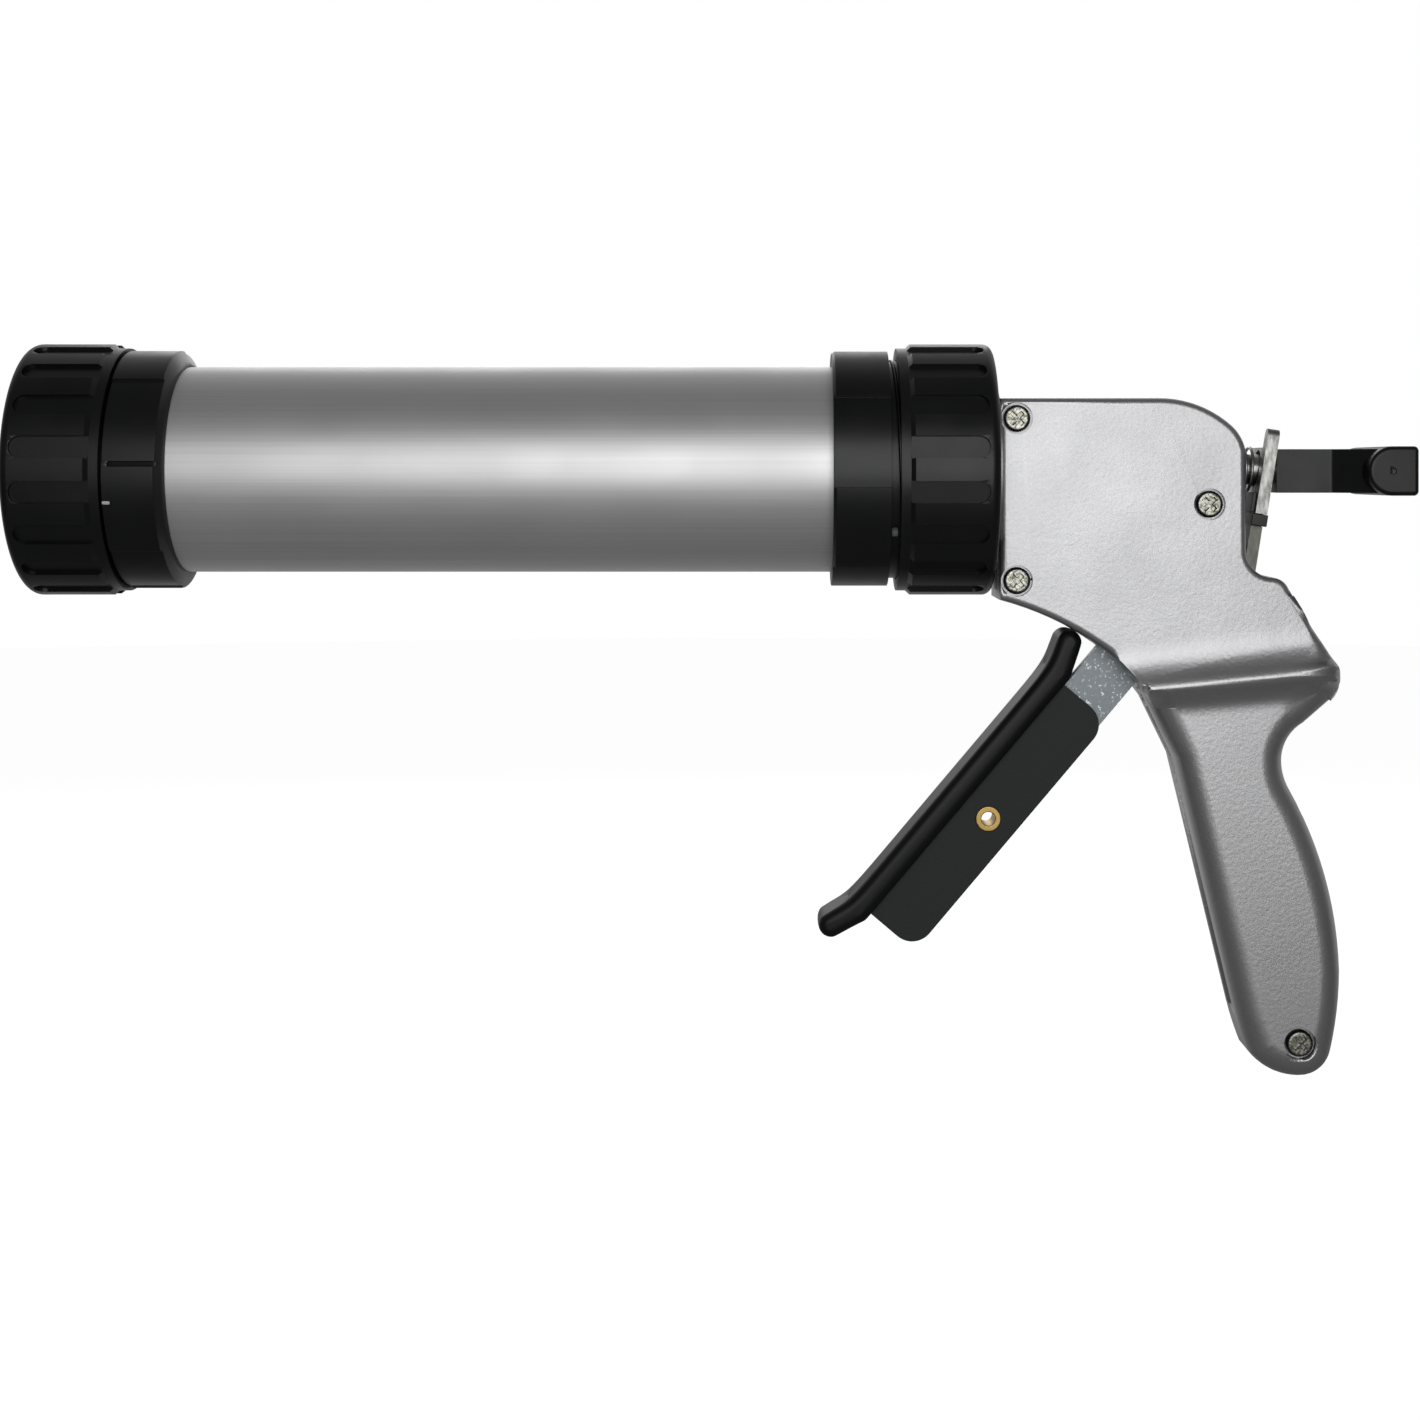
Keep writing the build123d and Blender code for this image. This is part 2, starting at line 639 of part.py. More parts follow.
# Hand stop: a ridge across both sides whose crest rises a little towards the horn
CREST_FRONT = (-23.8, -55.5)
CREST_RISE = 6.0
crest_along = Vector(cos(radians(CREST_RISE)), 0, sin(radians(CREST_RISE)))
crest_start = Vector(x_housing_rear + CREST_FRONT[0], 0, CREST_FRONT[1])
ridge_plane = Plane(origin=crest_start - crest_along * CREST_FRONT[0], x_dir=(0, 1, 0), z_dir=crest_along)
ridge_foot = 2 * RIDGE_DROP
ridge_high_half = block_half - RIDGE_SINK
ridge_low_half = handle_half - RIDGE_SINK
ridge_reach = 3 * BLOCK_DEPTH


def crest_level(back, rise):
    """Place at a distance behind the housing's rear face and a height above the crest line."""
    return at((back, CREST_FRONT[1] + (back - CREST_FRONT[0]) * tan(radians(CREST_RISE)) + rise))


with BuildPart() as ridge:
    for along, share in ((throat[0], RIDGE_TAPER), (horn_tip[0], 1)):
        crest_half = block_half + (ridge_half - block_half) * share
        flare = RIDGE_SLOPE * share
        drop = RIDGE_DROP * share
        with BuildSketch(ridge_plane.offset(along)):
            with BuildLine():
                Polyline(
                    (ridge_high_half, RIDGE_FLARE + ridge_foot),
                    (ridge_high_half, flare),
                    (crest_half, 0),
                    (ridge_low_half, -drop),
                    (ridge_low_half, -RIDGE_DROP - ridge_foot),
                    (-ridge_low_half, -RIDGE_DROP - ridge_foot),
                    (-ridge_low_half, -drop),
                    (-crest_half, 0),
                    (-ridge_high_half, flare),
                    (-ridge_high_half, RIDGE_FLARE + ridge_foot),
                    close=True,
                )
            make_face()
            for rise, radius in ((flare, FLARE_ROUND), (0, RIDGE_ROUND), (-drop, RIDGE_FOOT_ROUND)):
                fillet([c for c in vertices() if abs(c.Y - rise) < LOOSE_FIT], radius * share)
    loft(ruled=True)
    with BuildSketch(Plane.XZ):
        add(housing_outline.sketch)
        with BuildLine():
            Polyline(
                crest_level(-ridge_reach, RIDGE_FLARE + ridge_foot),
                crest_level(ridge_reach, RIDGE_FLARE + ridge_foot),
                crest_level(ridge_reach, -RIDGE_DROP - 2 * RIDGE_ROUND),
                at((horn_lower[0] + FIT_GAP, horn_lower[1])),
                at((horn_lower[0] - RIDGE_ROUND, horn_lower[1] + RIDGE_ROUND)),
                crest_level(-ridge_reach, -RIDGE_DROP - RIDGE_ROUND),
                close=True,
            )
        make_face(mode=Mode.INTERSECT)
    extrude(amount=RIDGE_THICKNESS, both=True, mode=Mode.INTERSECT)

# Handle below the hand stop, with well rounded edges
with BuildPart() as handle:
    with BuildSketch(Plane.XZ):
        with BuildLine():
            Line(at(throat), at(front_high))
            Line(at(front_high), at(toe_high))
            TangentArc(at(toe_high), at(toe_low), tangent=(cos(radians(76)), -sin(radians(76))))
            TangentArc(at(heel_low), at(toe_low), tangent=(-1, 0))
            TangentArc(at(heel_high), at(heel_low), tangent=(-cos(radians(75)), -sin(radians(75))))
            TangentArc(at(back_belly), at(heel_high), tangent=(0, -1))
            TangentArc(at(back_turn), at(back_belly), tangent=(cos(radians(60.6)), -sin(radians(60.6))))
            TangentArc(at(back_waist), at(back_turn), tangent=(0, -1))
            TangentArc(at(back_waist), at(horn_under), tangent=(0, 1))
            Polyline(
                at(horn_under),
                at(horn_lower),
                crest_level(horn_lower[0], 0),
                crest_level(throat[0], 0),
                at(throat),
            )
        make_face()
    extrude(amount=handle_half, both=True)
    rounded = []
    for edge in handle.faces().filter_by(Axis.Y).edges():
        middle = edge.center()
        if middle.Z < crest_level(middle.X - x_housing_rear, -RIDGE_DROP)[1]:
            rounded.append(edge)
    fillet(rounded, HANDLE_EDGE_ROUND)

# Whole housing before it is split: block, hand stop and handle, hollow inside
with BuildPart() as housing:
    with BuildSketch(Plane.XZ):
        add(housing_outline.sketch)
        with BuildLine():
            Polyline(
                crest_level(-ridge_reach, 0),
                crest_level(ridge_reach, 0),
                at((ridge_reach, 2 * BLOCK_TOP)),
                at((-ridge_reach, 2 * BLOCK_TOP)),
                close=True,
            )
        make_face(mode=Mode.INTERSECT)
    extrude(amount=block_half, both=True)
    block_edges = housing.faces().filter_by(Axis.Y).edges()
    fillet([e for e in block_edges if e.center().Z > CREST_FRONT[1] + RIDGE_FLARE], BLOCK_EDGE_ROUND)
    add(ridge.part)
    add(handle.part)
    # Hollow of the block behind the flange tongue, and hollow of the handle above its end screw
    with BuildSketch(Plane.XZ):
        with BuildLine():
            Polyline(
                at((TONGUE_LENGTH - BLOCK_DEPTH, BLOCK_TOP - HOUSING_WALL)),
                at((top_rear[0], BLOCK_TOP - HOUSING_WALL)),
                at((shoulder_end[0] - HOUSING_WALL, shoulder_end[1] - HOUSING_WALL)),
                at((-HOUSING_WALL, rear_high[1])),
                at((-HOUSING_WALL, CREST_FRONT[1] + RIDGE_FLARE)),
                at((-BLOCK_DEPTH / 2, CREST_FRONT[1] + RIDGE_FLARE)),
                at((TONGUE_LENGTH - BLOCK_DEPTH, BLOCK_BOTTOM + HOUSING_WALL)),
                close=True,
            )
        make_face()
    extrude(amount=block_half - HOUSING_WALL, both=True, mode=Mode.SUBTRACT)
    with BuildSketch(Plane.XZ):
        with BuildLine():
            Polyline(
                at((front_high[0] + HANDLE_WALL + HOUSING_WALL, back_turn[1])),
                at((toe_high[0] + HANDLE_WALL, toe_high[1] + HANDLE_WALL)),
                at((back_belly[0] - HANDLE_WALL - HOUSING_WALL, toe_high[1] + HANDLE_WALL)),
                at((back_belly[0] - HANDLE_WALL - HOUSING_WALL, back_belly[1])),
                at((back_turn[0] - HANDLE_WALL, back_turn[1])),
                close=True,
            )
        make_face()
    extrude(amount=handle_half - HOUSING_WALL, both=True, mode=Mode.SUBTRACT)
    # Bosses that hold the sleeve of the trigger pivot
    boss_start = SLEEVE_LENGTH / 2
    for side in (1, -1):
        with BuildSketch(pivot_plane.offset(side * boss_start)):
            Circle(hub_r)
        extrude(amount=side * (block_half - HOUSING_WALL / 2 - boss_start))
    # Pocket for the flange tongue
    with BuildSketch(Plane.YZ.offset(x_housing)):
        with Locations((0, (tongue_low + tongue_high) / 2)):
            Rectangle(TONGUE_WIDTH + 2 * LOOSE_FIT, tongue_high - tongue_low + 2 * LOOSE_FIT)
        Circle(BUSH_OD / 2 + HOUSING_WALL + LOOSE_FIT)
    extrude(amount=TONGUE_LENGTH, mode=Mode.SUBTRACT)
    # Rod hole, seat of the release spring and pocket for the foot of the release plate
    with BuildSketch(Plane.YZ.offset(x_housing_rear - 2 * HOUSING_WALL)):
        Circle(rod_r + FACE_GAP)
    extrude(amount=4 * HOUSING_WALL, mode=Mode.SUBTRACT)
    with BuildSketch(Plane.YZ.offset(x_housing_rear - RELEASE_SPRING_SINK)):
        Circle(release_spring_r + RELEASE_SPRING_WIRE / 2 + FACE_GAP)
    extrude(amount=2 * HOUSING_WALL, mode=Mode.SUBTRACT)
    pocket_foot = PLATE_HINGE + PLATE_THICKNESS / 2 + PLATE_POCKET_GAP
    with BuildSketch(plate_plane):
        with Locations((0, (rear_low[1] - pocket_foot) / 2)):
            Rectangle(TONGUE_TIP_WIDTH + 2 * PLATE_POCKET_GAP, pocket_foot + rear_low[1])
    extrude(amount=PLATE_THICKNESS / 2 + PLATE_POCKET_GAP, both=True, mode=Mode.SUBTRACT)
    # Slot that the lever swings in, and the groove that runs on down the front of the handle
    with BuildSketch(trigger_plane):
        with Locations(Location((0, 0)), Location((0, 0), TRIGGER_TRAVEL)):
            with Locations(((LEVER_START + LEVER_END) / 2, lever_middle)):
                Rectangle(LEVER_END - LEVER_START, LEVER_WIDTH + 4 * PLATE_POCKET_GAP)
        make_hull()
    extrude(amount=LEVER_SLOT / 2, both=True, mode=Mode.SUBTRACT)
    with BuildSketch(Plane.XZ):
        with BuildLine():
            Polyline(
                at(throat),
                at((front_high[0] + GROOVE_DEPTH, front_high[1])),
                at((toe_high[0] + GROOVE_DEPTH, toe_high[1])),
                at((toe_high[0] - 2 * GROOVE_DEPTH, toe_high[1])),
                close=True,
            )
        make_face()
    extrude(amount=LEVER_SLOT / 2, both=True, mode=Mode.SUBTRACT)
    # Trough in the underside that the upper hook of the trigger grip swings through
    trough_reach = 2 * bar_hook_r
    with BuildSketch(pivot_plane):
        Polygon(
            (0, 0),
            (-trough_reach * cos(radians(TROUGH_START)), -trough_reach * sin(radians(TROUGH_START))),
            (-trough_reach * cos(radians(TROUGH_END)), -trough_reach * sin(radians(TROUGH_END))),
            align=None,
        )
        Circle(bar_hook_r - HOOK_ROOM, mode=Mode.SUBTRACT)
    extrude(amount=BAR_WIDTH / 2 + HOOK_ROOM, both=True, mode=Mode.SUBTRACT)
    # Screw holes: sunk and clear through the near half, tight and blind in the far half
    for x_screw, z_screw, face in screw_places:
        with BuildSketch(Plane.XZ):
            with Locations((x_screw, z_screw)):
                Circle(SCREW_D / 2 + LOOSE_FIT)
        extrude(amount=face, mode=Mode.SUBTRACT)
        with BuildSketch(Plane.XZ.offset(face - SCREW_SINK)):
            with Locations((x_screw, z_screw)):
                Circle(SCREW_SINK_D / 2)
        extrude(amount=2 * SCREW_SINK, mode=Mode.SUBTRACT)
        with BuildSketch(Plane.XZ):
            with Locations((x_screw, z_screw)):
                Circle(SCREW_D / 2 + FIT_GAP)
        extrude(amount=-SCREW_BITE, mode=Mode.SUBTRACT)

with BuildPart() as housing_left:
    add(housing.part)
    split(bisect_by=Plane.XZ, keep=Keep.TOP)
keep(housing_left, "housing_left")

with BuildPart() as housing_right:
    add(housing.part)
    split(bisect_by=Plane.XZ, keep=Keep.BOTTOM)
keep(housing_right, "housing_right")

# Cross-recess pan head screws that hold the halves together
with BuildPart() as housing_screws:
    for x_screw, z_screw, face in screw_places:
        head_back = face - SCREW_SINK
        with BuildSketch(Plane.XZ.offset(head_back)):
            with Locations((x_screw, z_screw)):
                Circle(SCREW_HEAD_D / 2)
        extrude(amount=SCREW_HEAD_HEIGHT)
        with BuildSketch(Plane.XZ.offset(head_back)):
            with Locations((x_screw, z_screw)):
                Circle(SCREW_D / 2)
        extrude(amount=-(head_back + SCREW_BITE - FACE_GAP))
        with BuildSketch(Plane.XZ.offset(head_back + SCREW_HEAD_HEIGHT)):
            with Locations((x_screw, z_screw)):
                Rectangle(RECESS_LENGTH, RECESS_WIDTH, rotation=45)
                Rectangle(RECESS_WIDTH, RECESS_LENGTH, rotation=45)
        extrude(amount=-RECESS_DEPTH, mode=Mode.SUBTRACT)
keep(housing_screws, "housing_screws")

# Sleeve on the pivot screw, clamped between the bosses
with BuildPart() as trigger_pivot_sleeve:
    with BuildSketch(pivot_plane):
        Circle(sleeve_r)
        Circle(SCREW_D / 2 + LOOSE_FIT, mode=Mode.SUBTRACT)
    extrude(amount=SLEEVE_LENGTH / 2, both=True)
keep(trigger_pivot_sleeve, "trigger_pivot_sleeve")

# Trigger lever: hub, arm and a fork that straddles the rod and pushes the drive plate
with BuildPart() as trigger_lever:
    with BuildSketch(trigger_plane):
        Circle(hub_r)
        with Locations((LEVER_START + hub_r, lever_middle)):
            Rectangle(2 * hub_r, LEVER_WIDTH)
        make_hull()
        with Locations(((LEVER_START + LEVER_END) / 2, lever_middle)):
            Rectangle(LEVER_END - LEVER_START, LEVER_WIDTH)
    extrude(amount=LEVER_THICKNESS / 2, both=True)
    with BuildSketch(pivot_plane):
        Circle(hub_r)
    extrude(amount=fork_outer, both=True)
    for side in (1, -1):
        with BuildSketch(pivot_plane.offset(side * fork_inner)):
            Circle(hub_r)
            with Locations((-NOSE_REACH, PIVOT_DROP)):
                Circle(NOSE_ROUND)
            make_hull()
        extrude(amount=side * FORK_WALL)
    with BuildSketch(pivot_plane):
        Circle(sleeve_r + FIT_GAP)
    extrude(amount=SLEEVE_LENGTH, both=True, mode=Mode.SUBTRACT)
    with BuildSketch(trigger_plane):
        with Locations((EYELET_PLACE, lever_middle)):
            Circle(eyelet_r + FIT_GAP)
    extrude(amount=LEVER_THICKNESS, both=True, mode=Mode.SUBTRACT)
keep(trigger_lever, "trigger_lever")

# Trigger grip: finger bar with both ends hooked forward, and a web moulded over the lever
hook_side = BAR_HOOK / 2 * sin(radians(BAR_HOOK_ANGLE))
hook_along = BAR_HOOK / 2 * cos(radians(BAR_HOOK_ANGLE))
with BuildPart() as trigger_grip:
    with BuildSketch(trigger_plane):
        with Locations(((BAR_START + BAR_END) / 2, bar_side)):
            SlotCenterToCenter(BAR_END - BAR_START, BAR_THICKNESS)
        with Locations((BAR_START - hook_along, bar_side - hook_side)):
            SlotCenterToCenter(BAR_HOOK, BAR_THICKNESS, rotation=BAR_HOOK_ANGLE)
        with Locations((BAR_END + hook_along, bar_side - hook_side)):
            SlotCenterToCenter(BAR_HOOK, BAR_THICKNESS, rotation=-BAR_HOOK_ANGLE)
    extrude(amount=BAR_WIDTH / 2, both=True)
    fillet(trigger_grip.faces().filter_by(Axis.Y).edges(), BAR_ROUND)
    with BuildSketch(trigger_plane):
        with BuildLine():
            Polyline(
                (WEB_START, bar_side),
                (WEB_START, web_far_side),
                (WEB_END, web_far_side),
                (WEB_END, bar_side),
                close=True,
            )
        make_face()
        fillet([c for c in vertices() if c.Y > lever_middle], WEB_CORNER)
    extrude(amount=WEB_THICKNESS / 2, both=True)
    with BuildSketch(trigger_plane):
        with Locations(((LEVER_START + LEVER_END) / 2, lever_middle)):
            Rectangle(LEVER_END - LEVER_START + 2 * LOOSE_FIT, LEVER_WIDTH + 2 * LOOSE_FIT)
    extrude(amount=LEVER_THICKNESS / 2 + LOOSE_FIT, both=True, mode=Mode.SUBTRACT)
    with BuildSketch(trigger_plane):
        with Locations((EYELET_PLACE, lever_middle)):
            Circle(eyelet_r + FIT_GAP)
    extrude(amount=WEB_THICKNESS, both=True, mode=Mode.SUBTRACT)
keep(trigger_grip, "trigger_grip")

# Hollow rivet that holds the grip on the lever
with BuildPart() as grip_eyelet:
    with BuildSketch(trigger_plane):
        with Locations((EYELET_PLACE, lever_middle)):
            Circle(eyelet_r)
    extrude(amount=WEB_THICKNESS / 2 + EYELET_FLANGE, both=True)
    for side in (1, -1):
        with BuildSketch(trigger_plane.offset(side * WEB_THICKNESS / 2)):
            with Locations((EYELET_PLACE, lever_middle)):
                Circle(EYELET_FLANGE_D / 2)
        extrude(amount=side * EYELET_FLANGE)
    with BuildSketch(trigger_plane):
        with Locations((EYELET_PLACE, lever_middle)):
            Circle(EYELET_HOLE / 2)
    extrude(amount=WEB_THICKNESS, both=True, mode=Mode.SUBTRACT)
keep(grip_eyelet, "grip_eyelet")

# Drive plate that grips the rod, and the spring that returns it
with BuildPart() as drive_plate:
    with BuildSketch(Plane.YZ.offset(x_drive_plate)):
        with Locations((0, (DRIVE_PLATE_TOP - DRIVE_PLATE_BOTTOM) / 2)):
            RectangleRounded(DRIVE_PLATE_WIDTH, DRIVE_PLATE_TOP + DRIVE_PLATE_BOTTOM, DRIVE_PLATE_ROUND)
        Circle(rod_r + FACE_GAP, mode=Mode.SUBTRACT)
    extrude(amount=DRIVE_PLATE_THICKNESS)
keep(drive_plate, "drive_plate")

drive_spring_start = x_tongue_back + FACE_GAP + DRIVE_SPRING_WIRE / 2
drive_spring_end = x_drive_plate - FACE_GAP - DRIVE_SPRING_WIRE / 2
coil_spring(
    "drive_spring",
    DRIVE_SPRING_TURNS,
    rod_r + DRIVE_SPRING_ROOM + DRIVE_SPRING_WIRE / 2,
    DRIVE_SPRING_WIRE,
    drive_spring_start,
    (drive_spring_end - drive_spring_start) / DRIVE_SPRING_TURNS,
    0,
)

# Release plate: holed plate with one ear, a waist and a round foot that rocks in the housing
plate_foot = plate_plane.from_local_coords((0, -PLATE_HINGE, 0))
with BuildPart() as release_plate:
    with BuildSketch(plate_plane):
        with Locations((0, (PLATE_TOP - PLATE_BOTTOM) / 2)):
            Rectangle(PLATE_WIDTH, PLATE_TOP + PLATE_BOTTOM)
        with Locations((EAR_WIDTH / 2 - PLATE_WIDTH / 2, (EAR_TOP - EAR_WIDTH / 2) / 2)):
            Rectangle(EAR_WIDTH, EAR_TOP - EAR_WIDTH / 2)
        with Locations((EAR_WIDTH / 2 - PLATE_WIDTH / 2, EAR_TOP - EAR_WIDTH / 2)):
            Circle(EAR_WIDTH / 2)
        with Locations((0, -(PLATE_BOTTOM + PLATE_HINGE) / 2)):
            Rectangle(WAIST_WIDTH, PLATE_HINGE - PLATE_BOTTOM)
        with Locations((0, -(PLATE_BOTTOM + WAIST_HEIGHT + PLATE_HINGE) / 2)):
            Rectangle(TONGUE_TIP_WIDTH, PLATE_HINGE - PLATE_BOTTOM - WAIST_HEIGHT)
        Circle(rod_r + PLATE_HOLE_PLAY / 2, mode=Mode.SUBTRACT)
    extrude(amount=PLATE_THICKNESS / 2, both=True)
    with BuildSketch(Plane(origin=plate_foot, x_dir=(1, 0, 0), z_dir=(0, -1, 0))):
        Circle(PLATE_THICKNESS / 2)
    extrude(amount=TONGUE_TIP_WIDTH / 2, both=True)
keep(release_plate, "release_plate")

# Sleeve pressed on the waist of the release plate
grommet_foot = plate_plane.from_local_coords((0, -PLATE_BOTTOM - WAIST_HEIGHT + LOOSE_FIT, 0))
with BuildPart() as plate_grommet:
    with BuildSketch(Plane(origin=grommet_foot, x_dir=(0, 1, 0), z_dir=plate_plane.y_dir)):
        Rectangle(WAIST_WIDTH + 2 * GROMMET_SIDE, PLATE_THICKNESS + 2 * GROMMET_WALL)
        Rectangle(WAIST_WIDTH + 2 * FIT_GAP, PLATE_THICKNESS + 2 * FIT_GAP, mode=Mode.SUBTRACT)
    extrude(amount=WAIST_HEIGHT - 2 * LOOSE_FIT)
keep(plate_grommet, "plate_grommet")

# Spring that holds the release plate back against the rod
coil_spring(
    "release_spring",
    RELEASE_SPRING_TURNS,
    release_spring_r,
    RELEASE_SPRING_WIRE,
    x_housing_rear - RELEASE_SPRING_SINK + FACE_GAP + RELEASE_SPRING_WIRE / 2,
    RELEASE_SPRING_PITCH,
    tan(radians(PLATE_TILT)),
)
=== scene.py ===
import json
from math import copysign, cos, exp, log, pi, radians, sin, sqrt

import bmesh
import bpy
from mathutils import Matrix, Vector


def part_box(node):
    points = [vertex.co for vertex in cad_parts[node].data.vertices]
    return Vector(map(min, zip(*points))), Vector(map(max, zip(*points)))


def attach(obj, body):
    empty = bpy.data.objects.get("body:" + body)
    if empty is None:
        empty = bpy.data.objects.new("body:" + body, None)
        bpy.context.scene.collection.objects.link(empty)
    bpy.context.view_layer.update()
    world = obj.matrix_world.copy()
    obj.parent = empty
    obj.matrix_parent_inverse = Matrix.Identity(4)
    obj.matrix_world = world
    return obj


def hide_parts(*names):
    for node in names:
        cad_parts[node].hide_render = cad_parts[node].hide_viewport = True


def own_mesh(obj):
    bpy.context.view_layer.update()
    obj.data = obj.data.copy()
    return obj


# Caulking gun dressed for the studio: metres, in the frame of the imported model.
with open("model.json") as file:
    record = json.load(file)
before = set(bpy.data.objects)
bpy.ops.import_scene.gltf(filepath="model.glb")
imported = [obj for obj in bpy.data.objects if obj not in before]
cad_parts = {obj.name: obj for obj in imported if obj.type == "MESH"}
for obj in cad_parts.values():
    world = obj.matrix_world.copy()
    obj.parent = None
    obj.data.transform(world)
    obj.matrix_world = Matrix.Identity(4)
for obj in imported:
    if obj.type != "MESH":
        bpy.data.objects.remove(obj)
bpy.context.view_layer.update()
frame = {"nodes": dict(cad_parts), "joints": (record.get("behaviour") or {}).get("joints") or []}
scene = bpy.context.scene
scene.view_settings.view_transform = "Standard"

MM = 0.001
WELD = 0.002 * MM
FLAT = radians(0.05)

# Camera: level with the barrel, its lens shifted to the photograph's frame
CAMERA_PLACE = Vector((0.1940, -0.620, 0.0))
CAMERA_LENS = 59.55
CAMERA_SENSOR = 36.0
CAMERA_SHIFT = (-0.0438, -0.1694)
CAMERA_NEAR = 0.01

# Studio: a softbox in front, a weak one behind, a pale floor under the gun and a white background
SOFTBOX_PLACE = Vector((0.24, -0.85, 0.11))
SOFTBOX_AIM = Vector((0.23, 0, -0.03))
SOFTBOX_SIZE = (0.75, 0.62)
SOFTBOX_POWER = 2.75
BACK_FILL_PLACE = Vector((0.1, 1.1, 0.45))
BACK_FILL_AIM = Vector((0.2, 0, -0.03))
BACK_FILL_SIZE = (0.8, 0.6)
BACK_FILL_POWER = 2.0
FLOOR_CENTRE = (0.18, 0, -0.26)
FLOOR_REACH = 3.0
FLOOR_SIDES = 96
FLOOR_TONE = (0.5, 0.5, 0.5)
FLOOR_GLOSS_TONE = (0.38, 0.38, 0.38)
FLOOR_GLOW = 0.93
ROOM_TONE = (0.1, 0.1, 0.1)
WHITE = (1.0, 1.0, 1.0)
BACK_GLOSS = 0.35

# Range over which the white background comes up in gloss: metres on the floor, a direction in the room
FLOOR_BEHIND = (0.05, 0.5)
ROOM_BEHIND = (0.1, 0.6)

# Necks of the two collars, where the ring nuts are threaded on
NECK_RADIUS = 28.6 * MM
THREAD_LEAD = 6.0 * MM
THREAD_HEIGHT = 0.36 * MM
THREAD_FOOT = 1.1 * MM
THREAD_CREST = 0.35 * MM
FRONT_SHOULDER = 25.6 * MM
REAR_SHOULDER = 224.1 * MM
COLLAR_RADIUS = 31.25 * MM
THREAD_STEPS = 72
THREAD_ROOM = 0.4 * MM

# Share of its height by which a small tile on a collar is rounded
TILE_EASE = 0.3

# Barrel tube
BARREL_WALL = 1.6 * MM
BARREL_EASE = 0.3 * MM
BARREL_STEPS = 160

# Hand stop: a crest along both sides of the housing, with a soft flare above it and a step below it
CREST_FRONT = Vector((290.6 * MM, 0, -56.8 * MM))
CREST_LENGTH = 51.0 * MM
CREST_SLOPE = 0.105
BLOCK_HALF = 13.0 * MM
HANDLE_HALF = 12.5 * MM
SWELL = (3.4 * MM, 4.5 * MM)
SWELL_RISE = (12.5 * MM, 14.0 * MM)
SWELL_POWER = 3
SWELL_FOOT = 13.0 * MM
STEP_FOOT = 7.0 * MM
STEP_SLOPE = 1.25
STEP_FADE = 5.0 * MM
CREST_SOFTNESS = 2.4 * MM
FOOT_SOFTNESS = 0.7 * MM
THROAT = Vector((290.6 * MM, 0, -58.0 * MM))
THROAT_INWARD = Vector((0.9, 0, 0.437))
HANDLE_ROUND = 6.5 * MM

# Horn behind the hand stop: its upper edge, its round tip and how widely its rim is rounded
HORN_UPPER = Vector((339.4 * MM, 0, -49.4 * MM))
HORN_INWARD = Vector((-0.846, 0, -0.533))
HORN_CENTRE = Vector((334.0 * MM, 0, -54.9 * MM))
HORN_RADIUS = 7.6 * MM
HORN_ROUND = (1.8 * MM, 5.0 * MM)
HORN_FADE = 7.0 * MM
HORN_TIP = 0.6 * HORN_RADIUS

# How the skin of the hand stop is cut, chosen and smoothed
SWELL_LOW = Vector((282.0 * MM, -18.0 * MM, -68.0 * MM))
SWELL_HIGH = Vector((344.0 * MM, 18.0 * MM, -36.0 * MM))
SWELL_CELLS = (1.5 * MM, 1.5 * MM, 1.0 * MM)
SEAM_ROOM = 0.5 * MM
SKIN_MARGIN = 0.5 * MM
SKIN_HALF = 9.5 * MM
SIDE_HALF = 11.5 * MM
SIDE_FACING = 0.3
SKIN_ROUNDS = 6
RIM_DROP = 3.0 * MM
RIM_ROUNDS = 24

# Rounded edges of the housing, and of its screw heads with the short edges that make up their rims
HOUSING_EASE = 0.25 * MM
SCREW_EASE = 0.12 * MM
SCREW_DOME = 0.95 * MM
SCREW_DOME_STEPS = 6
SCREW_RIM_EDGE = 1.0 * MM
SCREW_RIM_TURN = radians(60)
SCREW_FACING = -0.99

# Release plate: its place on the rod, its lean, half its thickness and the heights over which painted
# shade on its lower end fades out
PLATE_PLACE = Vector((323.1 * MM, 0, 0))
PLATE_TILT = radians(9.0)
PLATE_HALF = 1.55 * MM
PLATE_SHADE_HEIGHTS = (-14.0 * MM, -12.0 * MM)

# Flap of the sleeve on the release plate, whose black also stands in for painted shade between the
# plate and the housing
FLAP_SIZE = (1.0 * MM, 15.0 * MM, 5.2 * MM)
FLAP_FOOT = -11.6 * MM
FLAP_EASE = 0.25 * MM

# T handle of the rod: its stem, and the flare that opens from the stem to the crossbar
STEM_HALF = 6.5 * MM
STEM_BEND = 11.25 * MM
STEM_ROOM = 0.5 * MM
CROSSBAR_RADIUS = 6.65 * MM
FLARE_LENGTH = 13.5 * MM
FLARE_SLOPE = 0.84
FLARE_END = 1.3 * MM
FLARE_CELLS = (0.9 * MM, 4.0 * MM, 4.0 * MM)
FLARE_ROOM = 0.2 * MM

# Trigger: one direction runs down the lever from the pivot, the other from the fingers to the palm
trigger_joint = next(joint for joint in frame["joints"] if joint["name"] == "trigger_pull")
PIVOT = Vector(trigger_joint["pos_m"])
LEVER_ANGLE = radians(49.8)
LEVER_DOWN = Vector((-cos(LEVER_ANGLE), 0, -sin(LEVER_ANGLE)))
LEVER_PALM = Vector((sin(LEVER_ANGLE), 0, -cos(LEVER_ANGLE)))
WEB_EDGE = PIVOT.dot(LEVER_PALM) + 2.2 * MM
WEB_BLEND = 0.8 * MM
BAR_DEPTH = 14.0 * MM
BAR_HALF = 9.0 * MM
BAR_CELLS = (0.7 * MM, 2.0 * MM, 1.0 * MM)
BAR_ROOM = 0.2 * MM
BAR_ROUNDS = 30
LEVER_HALF = 2.5 * MM
GRIP_EASE = 0.4 * MM


# Shapes

